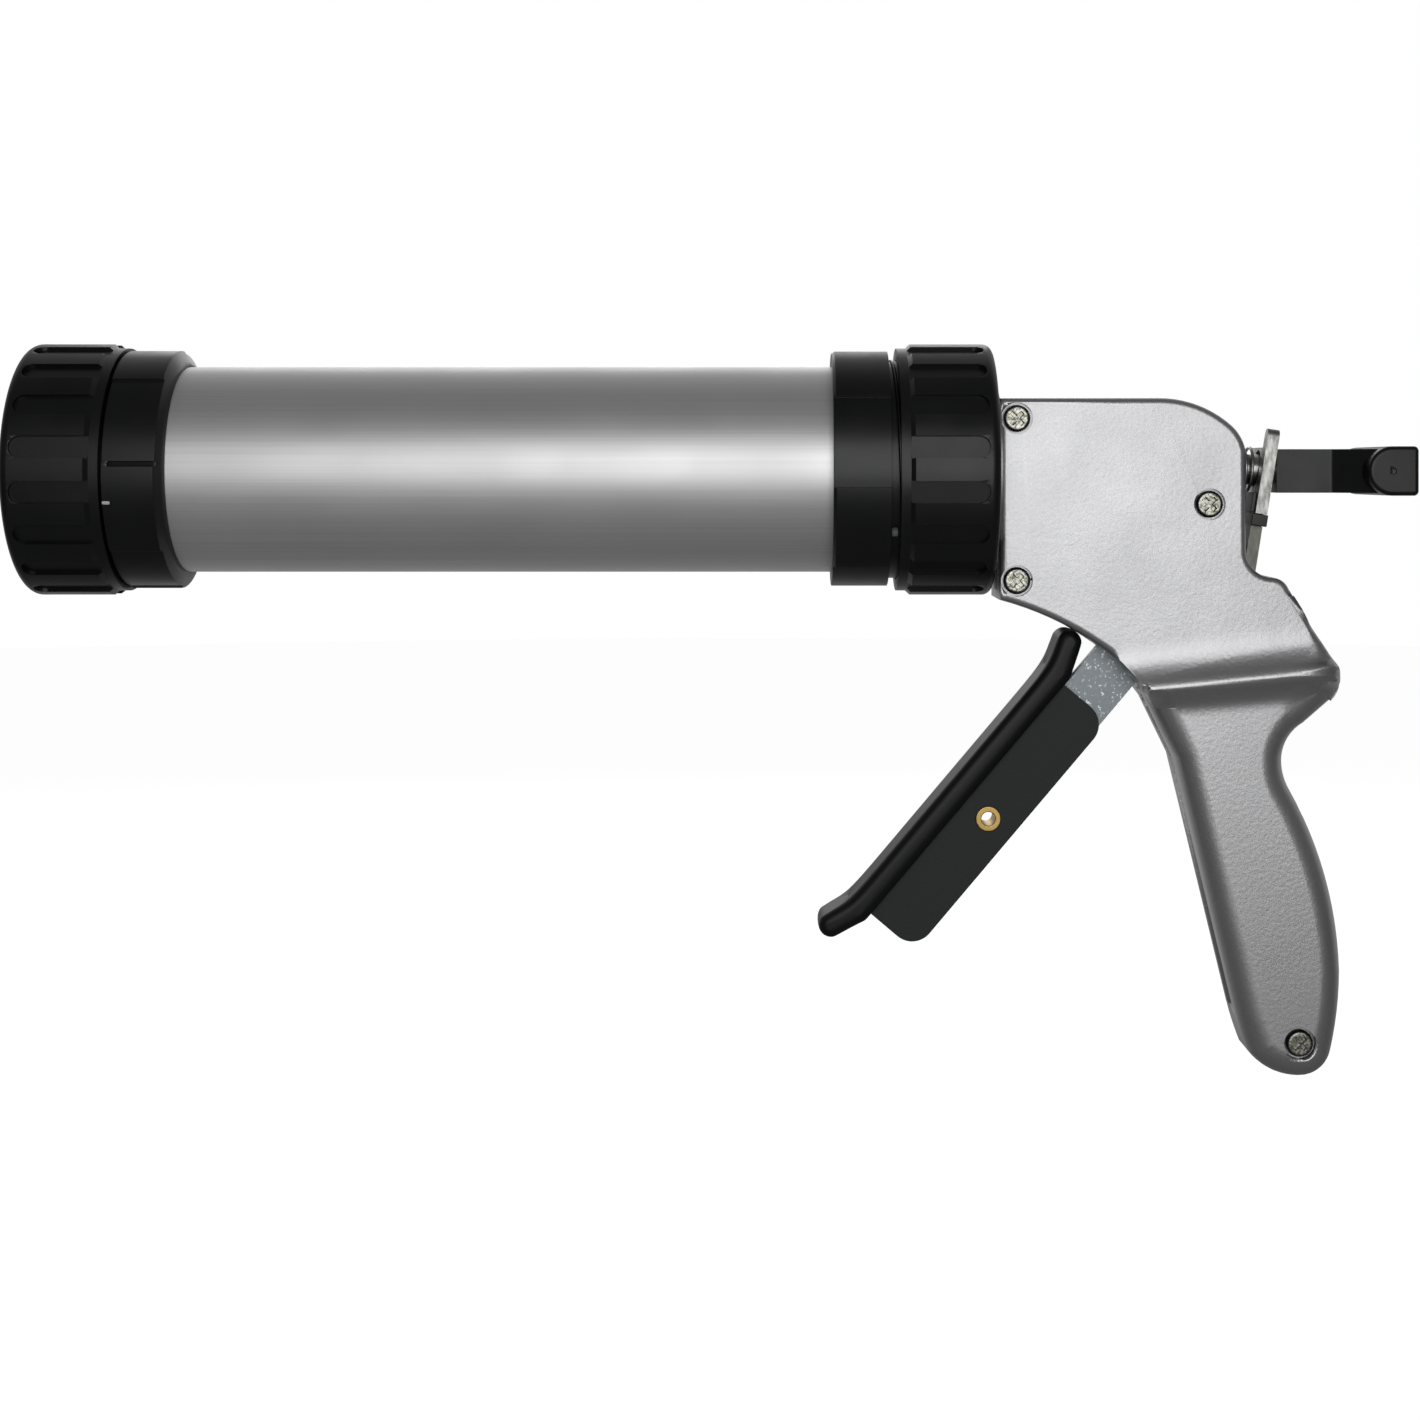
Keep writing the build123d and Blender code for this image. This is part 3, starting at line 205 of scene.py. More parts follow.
def merged_copy(node):
    """A welded copy of a CAD node's mesh with its flat areas joined back into whole faces."""
    shape = bmesh.new()
    shape.from_mesh(frame["nodes"][node].data)
    bmesh.ops.remove_doubles(shape, verts=shape.verts, dist=WELD)
    bmesh.ops.dissolve_limit(
        shape,
        angle_limit=FLAT,
        verts=shape.verts,
        edges=shape.edges,
    )
    return shape


def round_edges(shape, edges, width, segments, clamp=True):
    """Bevel edges to a round of the given width."""
    bmesh.ops.bevel(
        shape,
        geom=edges,
        offset=width,
        offset_type="OFFSET",
        segments=segments,
        profile=0.5,
        affect="EDGES",
        clamp_overlap=clamp,
        material=-1,
    )


def soften(shape, width, sharper_than=35, segments=2):
    """Round every edge of the shape that turns by more than the given angle."""
    sharp = []
    for edge in shape.edges:
        if edge.is_manifold and edge.calc_face_angle() > radians(sharper_than):
            sharp.append(edge)
    round_edges(shape, sharp, width, segments)


def smooth(shape, corners, rounds):
    """Even out corners, moving each half way towards the middle of its neighbours in every round."""
    for _ in range(rounds):
        bmesh.ops.smooth_vert(
            shape,
            verts=corners,
            factor=0.5,
            use_axis_x=True,
            use_axis_y=True,
            use_axis_z=True,
        )


def closed_profile(shape, profile):
    """Corners and sides of a closed profile of pairs, place along the barrel and radius."""
    corners = [shape.verts.new((along, 0, radius)) for along, radius in profile]
    sides = [shape.edges.new(pair) for pair in zip(corners, corners[1:] + corners[:1])]
    return corners + sides


def spun_ring(profile, steps):
    """A closed profile spun about the barrel axis."""
    shape = bmesh.new()
    bmesh.ops.spin(
        shape,
        geom=closed_profile(shape, profile),
        cent=(0, 0, 0),
        axis=(1, 0, 0),
        angle=2 * pi,
        steps=steps,
        use_merge=True,
    )
    bmesh.ops.remove_doubles(shape, verts=shape.verts, dist=WELD)
    bmesh.ops.recalc_face_normals(shape, faces=shape.faces)
    return shape


def thread_ridge(start, end):
    """A right-hand thread on a collar's neck: its section screwed along the barrel axis."""
    sunk = NECK_RADIUS - THREAD_HEIGHT
    top = NECK_RADIUS + THREAD_HEIGHT
    section = [
        (start, sunk),
        (start, NECK_RADIUS),
        (start + (THREAD_FOOT - THREAD_CREST) / 2, top),
        (start + (THREAD_FOOT + THREAD_CREST) / 2, top),
        (start + THREAD_FOOT, NECK_RADIUS),
        (start + THREAD_FOOT, sunk),
    ]
    turns = (end - start - THREAD_FOOT) / THREAD_LEAD
    steps = round(turns * THREAD_STEPS)
    shape = bmesh.new()
    bmesh.ops.spin(
        shape,
        geom=closed_profile(shape, section),
        cent=(0, 0, 0),
        axis=(1, 0, 0),
        dvec=(THREAD_LEAD * turns / steps, 0, 0),
        angle=2 * pi * turns,
        steps=steps,
    )
    bmesh.ops.holes_fill(shape, edges=shape.edges, sides=len(section))
    bmesh.ops.recalc_face_normals(shape, faces=shape.faces)
    return shape


def eased_block(size, ease):
    """A block about the origin with rounded edges."""
    shape = bmesh.new()
    bmesh.ops.create_cube(shape, size=1)
    bmesh.ops.scale(shape, verts=shape.verts, vec=size)
    soften(shape, ease, sharper_than=60)
    return shape


def curved_tile(along, turn, foot, height, length, width):
    """A small raised tile on a collar: turn is its angle above the side that faces the camera."""
    shape = eased_block((length, height, width), TILE_EASE * height)
    bmesh.ops.translate(shape, verts=shape.verts, vec=(along, -foot - height / 2, 0))
    bmesh.ops.rotate(
        shape,
        verts=shape.verts,
        cent=(0, 0, 0),
        matrix=Matrix.Rotation(-radians(turn), 3, "X"),
    )
    return shape


def between(pair, share):
    """A length part of the way from the first of a pair to the second."""
    return pair[0] + (pair[1] - pair[0]) * share


def inside(place, low, high, margin=0.0):
    """True where a place lies in a box, at least the margin from its sides."""
    return all(low[i] + margin <= place[i] <= high[i] - margin for i in range(3))


def everything(shape):
    """All faces, edges and corners of a shape."""
    return shape.faces[:] + shape.edges[:] + shape.verts[:]


def with_borders(faces):
    """Faces together with their edges and corners."""
    edges = dict.fromkeys(edge for face in faces for edge in face.edges)
    corners = dict.fromkeys(corner for face in faces for corner in face.verts)
    return [*faces, *edges, *corners]


def cut_across(shape, pieces, direction, level):
    """Cut faces, edges and corners where they cross a level along a direction."""
    cut = bmesh.ops.bisect_plane(
        shape,
        geom=pieces,
        dist=WELD,
        plane_co=direction * level,
        plane_no=direction,
    )
    return cut["geom"]


def cut_often(shape, pieces, direction, start, end, step):
    """Cut at equal steps along a direction."""
    for count in range(1, round((end - start) / step)):
        pieces = cut_across(shape, pieces, direction, start + count * step)
    return pieces


def cut_fine(shape, low, high, steps, seam=0.0):
    """Cut the faces inside a box into cells no larger than the steps, but none on the seam."""
    along = (Vector((1, 0, 0)), Vector((0, 1, 0)), Vector((0, 0, 1)))
    for axis in (0, 2):
        cut_across(shape, everything(shape), along[axis], low[axis])
        cut_across(shape, everything(shape), along[axis], high[axis])
    chosen = []
    for face in shape.faces:
        middle = face.calc_center_bounds()
        if inside(middle, low, high) and abs(middle.y) >= seam:
            chosen.append(face)
    pieces = with_borders(chosen)
    for axis in (2, 0, 1):
        pieces = cut_often(shape, pieces, along[axis], low[axis], high[axis], steps[axis])


def soft_least(one, other, softness):
    """The smaller of two lengths, rounded off where they meet."""
    return -softness * log(exp(-one / softness) + exp(-other / softness))


def rounding(depth, radius):
    """How far a rounded edge falls back at a depth in from the outline."""
    if depth >= radius:
        return 0.0
    return radius - sqrt(max(radius ** 2 - (radius - max(depth, 0)) ** 2, 0))


def crest_rise(place):
    """Height of a place above the crest line."""
    return place.z - CREST_FRONT.z - (place.x - CREST_FRONT.x) * CREST_SLOPE


def stop_half(place):
    """Half thickness of the housing on the flare, the crest and the step of the hand stop."""
    share = min(max((place.x - CREST_FRONT.x) / CREST_LENGTH, 0), 1)
    rise = crest_rise(place)
    height = between(SWELL_RISE, share)
    half = BLOCK_HALF
    if rise < height:
        top = between(SWELL, share) + CREST_SOFTNESS * log(2)
        flare = BLOCK_HALF + top * (1 - rise / height) ** SWELL_POWER
        step = BLOCK_HALF + top + STEP_SLOPE * rise
        half = soft_least(flare, step, CREST_SOFTNESS)
    if rise < 0:
        half = -soft_least(-half, -HANDLE_HALF, FOOT_SOFTNESS)
        depth = (place - THROAT).dot(THROAT_INWARD)
        half -= rounding(depth, HANDLE_ROUND) * min(-rise / STEP_FADE, 1)
    flat_place = Vector((place.x, 0, place.z))
    depth = (flat_place - HORN_UPPER).dot(HORN_INWARD)
    radius = between(HORN_ROUND, min(max(1 - rise / HORN_FADE, 0), 1))
    if place.z < HORN_UPPER.z and place.x > HORN_CENTRE.x:
        depth = HORN_RADIUS - (flat_place - HORN_CENTRE).length
        if place.z < HORN_CENTRE.z:
            radius *= min((place.x - HORN_CENTRE.x) / HORN_TIP, 1)
    return half - rounding(depth, radius)


def swell(shape):
    """Model the hand stop of a housing half as a soft casting."""
    cut_fine(shape, SWELL_LOW, SWELL_HIGH, SWELL_CELLS, SEAM_ROOM)
    shape.normal_update()
    skin = []
    for corner in shape.verts:
        if inside(corner.co, SWELL_LOW, SWELL_HIGH, SKIN_MARGIN) and abs(corner.co.y) > SKIN_HALF:
            skin.append(corner)
    places = []
    for corner in skin:
        half = abs(corner.co.y)
        rise = crest_rise(corner.co)
        if -SWELL_FOOT < rise < SWELL_RISE[1]:
            faces_out = max(abs(face.normal.y) for face in corner.link_faces) > SIDE_FACING
            target = stop_half(corner.co)
            if faces_out and half > SIDE_HALF and rise > -STEP_FOOT:
                half = target
            half = min(half, target)
        places.append(copysign(half, corner.co.y))
    for corner, place in zip(skin, places):
        corner.co.y = place
    smooth(shape, skin, SKIN_ROUNDS)
    rim = []
    for corner in skin:
        depth = (corner.co - HORN_UPPER).dot(HORN_INWARD)
        below = corner.co.z < SWELL_HIGH.z - RIM_DROP
        if below and (depth < HORN_ROUND[1] or corner.co.x > HORN_CENTRE.x - HORN_RADIUS):
            rim.append(corner)
    smooth(shape, rim, RIM_ROUNDS)
    bmesh.ops.dissolve_degenerate(shape, edges=shape.edges, dist=WELD)
    bmesh.ops.recalc_face_normals(shape, faces=shape.faces)


def make_piece(shape, name, body, material, nodes=(), crease=35):
    """Turn a shape into a smooth-shaded piece that rides on a body and stands for CAD nodes."""
    mesh = bpy.data.meshes.new(name)
    shape.to_mesh(mesh)
    shape.free()
    mesh.shade_smooth()
    mesh.set_sharp_from_angle(angle=radians(crease))
    mesh.materials.append(material)
    piece = bpy.data.objects.new(name, mesh)
    scene.collection.objects.link(piece)
    even = piece.modifiers.new("even_shading", "WEIGHTED_NORMAL")
    even.keep_sharp = True
    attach(piece, body)
    if nodes:
        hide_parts(*nodes)
    return piece


# Finishes

class Nodes:
    """Builds the nodes of one tree. What feeds a node is an output of another node or a fixed value."""

    def __init__(self, tree):
        self.tree = tree

    def add(self, kind):
        """A new node."""
        return self.tree.nodes.new(kind)

    def feed(self, source, target):
        """Link an output to an input, or set the input to a fixed value."""
        if isinstance(source, bpy.types.NodeSocket):
            self.tree.links.new(source, target)
        else:
            target.default_value = source

    def part(self, vector, axis):
        """One coordinate of a vector."""
        node = self.add("ShaderNodeSeparateXYZ")
        self.feed(vector, node.inputs["Vector"])
        return node.outputs[axis]

    def combined(self, operation, one, other):
        """Two values put together by a math operation."""
        node = self.add("ShaderNodeMath")
        node.operation = operation
        self.feed(one, node.inputs[0])
        self.feed(other, node.inputs[1])
        return node.outputs["Value"]

    def graded(self, value, low, high, to_low=0, to_high=1):
        """A value mapped from one range to another and held at its ends."""
        node = self.add("ShaderNodeMapRange")
        node.inputs["From Min"].default_value = low
        node.inputs["From Max"].default_value = high
        node.inputs["To Min"].default_value = to_low
        node.inputs["To Max"].default_value = to_high
        self.feed(value, node.inputs["Value"])
        return node.outputs["Result"]

    def blended(self, value, low, high):
        """Colour that goes from one tone to another with the value; a tone is a colour or an output."""
        node = self.add("ShaderNodeMix")
        node.data_type = "RGBA"
        for name, tone in (("A", low), ("B", high)):
            if isinstance(tone, tuple):
                tone = (*tone, 1)
            self.feed(tone, node.inputs[name])
        self.feed(value, node.inputs["Factor"])
        return node.outputs["Result"]


class Finish(Nodes):
    """A principled material whose patterns read Object coordinates, in metres."""

    def __init__(self, name, colour, metallic, roughness, shine=0.5):
        self.material = bpy.data.materials.new(name)
        self.material.use_nodes = True
        super().__init__(self.material.node_tree)
        self.shader = self.tree.nodes["Principled BSDF"]
        self.shader.inputs["Base Color"].default_value = (*colour, 1)
        self.shader.inputs["Metallic"].default_value = metallic
        self.shader.inputs["Roughness"].default_value = roughness
        self.shader.inputs["Specular IOR Level"].default_value = shine
        self.place = self.add("ShaderNodeTexCoord").outputs["Object"]

    def stretched(self, scale, turn=(0, 0, 0)):
        """Object coordinates turned and stretched."""
        mapping = self.add("ShaderNodeMapping")
        mapping.inputs["Rotation"].default_value = turn
        mapping.inputs["Scale"].default_value = scale
        self.feed(self.place, mapping.inputs["Vector"])
        return mapping.outputs["Vector"]

    def noise(self, scale, detail=2.0, rough=0.5, place=None):
        """Soft random pattern; scale is in features per metre."""
        node = self.add("ShaderNodeTexNoise")
        node.inputs["Scale"].default_value = scale
        node.inputs["Detail"].default_value = detail
        node.inputs["Roughness"].default_value = rough
        self.feed(place or self.place, node.inputs["Vector"])
        return node.outputs["Fac"]

    def cells(self, scale):
        """Random tone for each crystal-like cell."""
        node = self.add("ShaderNodeTexVoronoi")
        node.inputs["Scale"].default_value = scale
        self.feed(self.place, node.inputs["Vector"])
        return node.outputs["Color"]

    def colour(self, output):
        """Colour the surface by a pattern."""
        self.feed(output, self.shader.inputs["Base Color"])

    def roughness(self, output):
        """Set how rough the surface is by a pattern."""
        self.feed(output, self.shader.inputs["Roughness"])

    def relief(self, heights):
        """Bumps stacked on each other: pairs of height pattern and depth in metres."""
        before = None
        for height, depth in heights:
            node = self.add("ShaderNodeBump")
            node.inputs["Strength"].default_value = 1.0
            node.inputs["Distance"].default_value = depth
            self.feed(height, node.inputs["Height"])
            if before:
                self.feed(before, node.inputs["Normal"])
            before = node.outputs["Normal"]
        self.feed(before, self.shader.inputs["Normal"])


def powder_coat():
    """Silver-grey coat with metal flake and a fine orange peel."""
    coat = Finish("housing_powder_coat", (0.5, 0.5, 0.51), 0.9, 0.36)
    flake = coat.noise(5200, 1.0)
    cloud = coat.noise(60, 3.0)
    coat.colour(coat.blended(coat.graded(flake, 0.35, 0.65), (0.52, 0.52, 0.53), (0.6, 0.6, 0.61)))
    coat.roughness(coat.graded(cloud, 0.3, 0.7, 0.34, 0.39))
    coat.relief([(coat.noise(950, 2.0), 0.045 * MM), (coat.noise(2600, 1.0), 0.008 * MM)])
    return coat.material


def drawn_aluminium():
    """Anodised tube with fine drawing lines along its length."""
    tube = Finish("barrel_drawn_aluminium", (0.8, 0.8, 0.8), 0.82, 0.46)
    lines = tube.noise(1.0, 4.0, 0.7, tube.stretched((6, 1800, 1800)))
    cloud = tube.noise(45, 2.0)
    streaks = tube.graded(lines, 0.3, 0.7)
    tube.colour(tube.blended(streaks, (0.76, 0.765, 0.76), (0.86, 0.86, 0.86)))
    tube.roughness(tube.graded(cloud, 0.3, 0.7, 0.44, 0.48))
    tube.relief([(lines, 0.004 * MM)])
    return tube.material


def moulded_plastic(name, tone, roughness, grain_depth):
    """Black moulded plastic with a fine skin texture and faint flow marks."""
    plastic = Finish(name, tone, 0.0, roughness)
    flow = plastic.noise(70, 3.0)
    skin = plastic.noise(2600, 2.0)
    paler = tuple(1.35 * part for part in tone)
    plastic.colour(plastic.blended(plastic.graded(flow, 0.3, 0.7), tone, paler))
    plastic.roughness(plastic.graded(flow, 0.3, 0.7, roughness - 0.04, roughness + 0.05))
    plastic.relief([(skin, grain_depth)])
    return plastic.material


def grip_plastic():
    """Black plastic: sparked texture on the web, smoother on the finger bar."""
    bar_tone = (0.0045, 0.005, 0.005)
    web_tone = (0.03, 0.033, 0.032)
    grip = Finish("grip_moulded_plastic", bar_tone, 0.0, 0.5, 0.35)
    toward_palm = grip.add("ShaderNodeVectorMath")
    toward_palm.operation = "DOT_PRODUCT"
    grip.feed(grip.place, toward_palm.inputs[0])
    grip.feed(LEVER_PALM, toward_palm.inputs[1])
    on_web = grip.graded(toward_palm.outputs["Value"], WEB_EDGE, WEB_EDGE + WEB_BLEND)
    spark = grip.combined("MULTIPLY", on_web, grip.noise(2300, 3.0, 0.6))
    grip.colour(grip.blended(on_web, bar_tone, web_tone))
    grip.roughness(grip.graded(on_web, 0, 1, 0.42, 0.6))
    grip.relief([(spark, 0.09 * MM), (grip.noise(2600, 1.0), 0.006 * MM)])
    return grip.material


def zinc_plate(name, tone, roughness):
    """Zinc-plated steel with crystal spangle and small bright flecks."""
    zinc = Finish(name, tone, 1.0, roughness)
    spangle = zinc.cells(620)
    flecks = zinc.graded(zinc.noise(1300, 3.0, 0.6), 0.6, 0.68)
    bright = tuple(min(1.0, 2.6 * part) for part in tone)
    dark = tuple(0.6 * part for part in tone)
    zinc.colour(zinc.blended(flecks, zinc.blended(spangle, dark, tone), bright))
    zinc.roughness(zinc.graded(spangle, 0, 1, roughness - 0.08, roughness + 0.1))
    zinc.relief([(zinc.noise(900, 3.0), 0.02 * MM)])
    return zinc.material


def screw_zinc():
    """Yellowish zinc, with painted shade on the rounded rims of the heads, which face the camera's
    side.
    """
    zinc = Finish("screw_zinc", (0.4, 0.385, 0.335), 1.0, 0.34)
    mottle = zinc.noise(1500, 3.0)
    # Painted shade: faces that turn away from the flat tops of the heads take a dark blue-grey in place
    # of the zinc's colour.
    facing = zinc.part(zinc.place.node.outputs["Normal"], "Y")
    unshaded_top = zinc.graded(facing, -0.98, -0.84, 1, 0)
    tone = zinc.blended(zinc.graded(mottle, 0.38, 0.62), (0.13, 0.13, 0.11), (0.62, 0.61, 0.53))
    zinc.colour(zinc.blended(unshaded_top, (0.05, 0.055, 0.065), tone))
    zinc.relief([(mottle, 0.02 * MM)])
    return zinc.material


def streaked_steel(name, tone, roughness, stretch):
    """Plain steel with rolling or shearing streaks along one direction."""
    steel = Finish(name, tone, 1.0, roughness)
    streaks = steel.noise(1.0, 4.0, 0.65, steel.stretched(stretch))
    dark = tuple(0.7 * part for part in tone)
    steel.colour(steel.blended(steel.graded(streaks, 0.35, 0.65), dark, tone))
    steel.roughness(steel.graded(streaks, 0.35, 0.65, roughness + 0.1, roughness - 0.05))
    steel.relief([(streaks, 0.01 * MM)])
    return steel.material


def plate_steel():
    """Sheared steel of the release plate, with painted shade darkening its lower end."""
    steel = Finish("plate_sheared_steel", (0.44, 0.44, 0.42), 1.0, 0.38)
    along_plate = steel.stretched((900, 300, 300), turn=(0, PLATE_TILT, 0))
    streaks = steel.noise(1.0, 4.0, 0.65, along_plate)
    # Painted shade: the plate's lower end turns a dark greenish grey, fading out between these heights.
    upper = steel.graded(steel.part(steel.place, "Z"), *PLATE_SHADE_HEIGHTS)
    bright = steel.blended(steel.graded(streaks, 0.35, 0.65), (0.3, 0.3, 0.285), (0.56, 0.56, 0.54))
    steel.colour(steel.blended(upper, (0.15, 0.155, 0.135), bright))
    steel.roughness(steel.graded(streaks, 0.35, 0.65, 0.46, 0.34))
    steel.relief([(streaks, 0.03 * MM)])
    return steel.material


def plain_finish(name, tone, metallic, roughness):
    """Inner pieces: a quiet surface with a slight mottle."""
    plain = Finish(name, tone, metallic, roughness)
    mottle = plain.noise(300, 3.0)
    dark = tuple(0.85 * part for part in tone)
    plain.colour(plain.blended(plain.graded(mottle, 0.3, 0.7), dark, tone))
    plain.roughness(plain.graded(mottle, 0.3, 0.7, roughness - 0.05, roughness + 0.05))
    return plain.material


HOUSING = powder_coat()
BARREL = drawn_aluminium()
BLACK = moulded_plastic("black_moulded_plastic", (0.003, 0.0034, 0.0034), 0.34, 0.008 * MM)
GRIP = grip_plastic()
LEVER = zinc_plate("lever_zinc", (0.3, 0.33, 0.345), 0.4)
SCREW = screw_zinc()
BRASS = plain_finish("eyelet_brass", (0.62, 0.42, 0.14), 1.0, 0.3)
PLATE = plate_steel()
WIRE = streaked_steel("spring_wire", (0.5, 0.5, 0.5), 0.32, (700, 700, 700))
ROD = streaked_steel("rod_ground_steel", (0.66, 0.66, 0.66), 0.22, (2500, 60, 60))
SEAL = plain_finish("seal_rubber", (0.004, 0.004, 0.004), 0.0, 0.85)
PISTON = plain_finish("piston_plastic", (0.05, 0.05, 0.05), 0.0, 0.5)
BUSH = plain_finish("bush_plastic", (0.7, 0.69, 0.64), 0.0, 0.45)
CASTING = plain_finish("inner_casting", (0.5, 0.5, 0.51), 1.0, 0.5)
STEEL = plain_finish("inner_steel", (0.5, 0.5, 0.5), 1.0, 0.4)
MARK = plain_finish("index_mark_paint", (0.8, 0.8, 0.8), 0.0, 0.5)
LUG = plain_finish("stop_lug_plastic", (0.16, 0.17, 0.17), 0.0, 0.5)


# Pieces of the gun

def dressed(node, body, material, edge=0.0, segments=2):
    """A welded copy of a CAD node in its finish, its edges rounded by a width in millimetres."""
    shape = merged_copy(node)
    if edge:
        soften(shape, edge * MM, segments=segments)
    return make_piece(shape, "dressed_" + node, body, material, (node,))


def make_barrel():
    """Drawn tube with its ends eased."""
    low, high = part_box("barrel_tube")
    outer = high[2]
    inner = outer - BARREL_WALL
    ease = BARREL_EASE
    profile = [
        (low[0] + ease, outer),
        (high[0] - ease, outer),
        (high[0], outer - ease),
        (high[0], inner + ease),
        (high[0] - ease, inner),
        (low[0] + ease, inner),
        (low[0], inner + ease),
        (low[0], outer - ease),
    ]
    shape = spun_ring(profile, BARREL_STEPS)
    make_piece(shape, "drawn_barrel", "barrel", BARREL, ("barrel_tube",))


def make_housing(node):
    """Housing half with eased edges and its hand stop."""
    shape = merged_copy(node)
    soften(shape, HOUSING_EASE)
    swell(shape)
    make_piece(shape, "dressed_" + node, "housing", HOUSING, (node,))


def make_rod_handle():
    """T handle of the rod: its stem opens straight towards the crossbar."""
    shape = merged_copy("rod_handle")
    soften(shape, GRIP_EASE)
    low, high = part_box("rod_handle")
    axis = high[0] - CROSSBAR_RADIUS
    bend = axis - STEM_BEND
    start = axis - FLARE_LENGTH
    room = FLARE_ROOM
    cut_fine(
        shape,
        Vector((start, low[1] - room, low[2] - room)),
        Vector((axis, high[1] + room, high[2] + room)),
        FLARE_CELLS,
    )
    for corner in shape.verts:
        if start < corner.co.x < axis - room:
            half = abs(corner.co.y)
            along = max(corner.co.x - bend, 0)
            before = STEM_HALF + STEM_BEND - sqrt(STEM_BEND ** 2 - along ** 2)
            opened = min(STEM_HALF + FLARE_SLOPE * (corner.co.x - start), high[1] - FLARE_END)
            if opened > before and before - STEM_ROOM < half < before + room:
                half += opened - before
                corner.co.y = copysign(half, corner.co.y)
    bmesh.ops.recalc_face_normals(shape, faces=shape.faces)
    make_piece(shape, "dressed_rod_handle", "rod", BLACK, ("rod_handle",), crease=30)


def make_grip():
    """Finger bar rounded like a bead along the lever, with the flat web beside it."""
    shape = merged_copy("trigger_grip")
    soften(shape, GRIP_EASE)
    cut_across(shape, everything(shape), LEVER_PALM, WEB_EDGE)
    chosen = []
    for face in shape.faces:
        if face.calc_center_bounds().dot(LEVER_PALM) < WEB_EDGE:
            chosen.append(face)
    pieces = with_borders(chosen)
    reach = [corner.co.dot(LEVER_DOWN) for corner in shape.verts]
    pieces = cut_often(shape, pieces, LEVER_PALM, WEB_EDGE - BAR_DEPTH, WEB_EDGE, BAR_CELLS[0])
    pieces = cut_often(shape, pieces, LEVER_DOWN, min(reach), max(reach), BAR_CELLS[1])
    cut_often(shape, pieces, Vector((0, 1, 0)), -BAR_HALF, BAR_HALF, BAR_CELLS[2])
    bar = []
    for corner in shape.verts:
        if corner.co.dot(LEVER_PALM) < WEB_EDGE - BAR_ROOM and abs(corner.co.y) > LEVER_HALF:
            bar.append(corner)
    smooth(shape, bar, BAR_ROUNDS)
    bmesh.ops.recalc_face_normals(shape, faces=shape.faces)
    make_piece(shape, "dressed_trigger_grip", "trigger", GRIP, ("trigger_grip",))


def make_shade_flap():
    """Flap of the plate's sleeve, on the side of the release plate that faces the housing; its black
    also serves as painted shade there.
    """
    shape = eased_block(FLAP_SIZE, FLAP_EASE)
    middle = Vector((-PLATE_HALF - FLAP_SIZE[0] / 2, 0, FLAP_FOOT + FLAP_SIZE[2] / 2))
    bmesh.ops.translate(shape, verts=shape.verts, vec=middle)
    turn = Matrix.Rotation(PLATE_TILT, 4, "Y")
    bmesh.ops.transform(shape, verts=shape.verts, matrix=Matrix.Translation(PLATE_PLACE) @ turn)
    make_piece(shape, "sleeve_flap_painted_shade", "release", BLACK)


def make_screws():
    """Pan head screws: the rims of the heads well rounded, their cross recesses crisp."""
    shape = merged_copy("housing_screws")
    rims = []
    for edge in shape.edges:
        if edge.is_manifold and edge.calc_length() < SCREW_RIM_EDGE:
            faces_out = any(face.normal.y < SCREW_FACING for face in edge.link_faces)
            if faces_out and edge.calc_face_angle() > SCREW_RIM_TURN:
                rims.append(edge)
    round_edges(shape, rims, SCREW_DOME, SCREW_DOME_STEPS, clamp=False)
    soften(shape, SCREW_EASE, sharper_than=50)
    make_piece(shape, "pan_head_screws", "housing", SCREW, ("housing_screws",), crease=50)


def make_threads():
    """Threads on the necks of the collars, seen where a ring nut stands off or is unscrewed."""
    front_low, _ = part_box("front_collar")
    _, rear_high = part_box("rear_collar")
    front = thread_ridge(front_low[0] + THREAD_ROOM, FRONT_SHOULDER - THREAD_ROOM)
    rear = thread_ridge(REAR_SHOULDER + THREAD_ROOM, rear_high[0] - THREAD_ROOM)
    make_piece(front, "front_neck_thread", "barrel", BLACK)
    make_piece(rear, "rear_neck_thread", "barrel", BLACK)


def make_marks():
    """Black tile of painted shade on the floor of the front collar's slot, pale index mark on the front
    collar, and a stop lug on the rear neck.
    """
    mark = curved_tile(
        along=FRONT_SHOULDER + 1.0 * MM,
        turn=-15.6,
        foot=COLLAR_RADIUS - 0.9 * MM,
        height=1.0 * MM,
        length=2.1 * MM,
        width=1.0 * MM,
    )
    lug = curved_tile(
        along=REAR_SHOULDER + 1.0 * MM,
        turn=-32.8,
        foot=NECK_RADIUS - 0.5 * MM,
        height=2.2 * MM,
        length=1.9 * MM,
        width=2.0 * MM,
    )
    # Painted shade: a matt black tile on the slot's floor darkens the recess.
    slot_shade = curved_tile(
        along=FRONT_SHOULDER + 7.3 * MM,
        turn=2.6,
        foot=COLLAR_RADIUS - 1.9 * MM,
        height=0.9 * MM,
        length=11.5 * MM,
        width=1.28 * MM,
    )
    make_piece(slot_shade, "front_slot_painted_shade", "barrel", SEAL)
    make_piece(mark, "front_index_mark", "barrel", MARK)
    make_piece(lug, "rear_stop_lug", "barrel", LUG)


def make_springs():
    """The two coil springs, each given a mesh of its own."""
    drive = dressed("drive_spring", "housing", WIRE)
    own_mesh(drive)
    release = dressed("release_spring", "housing", WIRE)
    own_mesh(release)


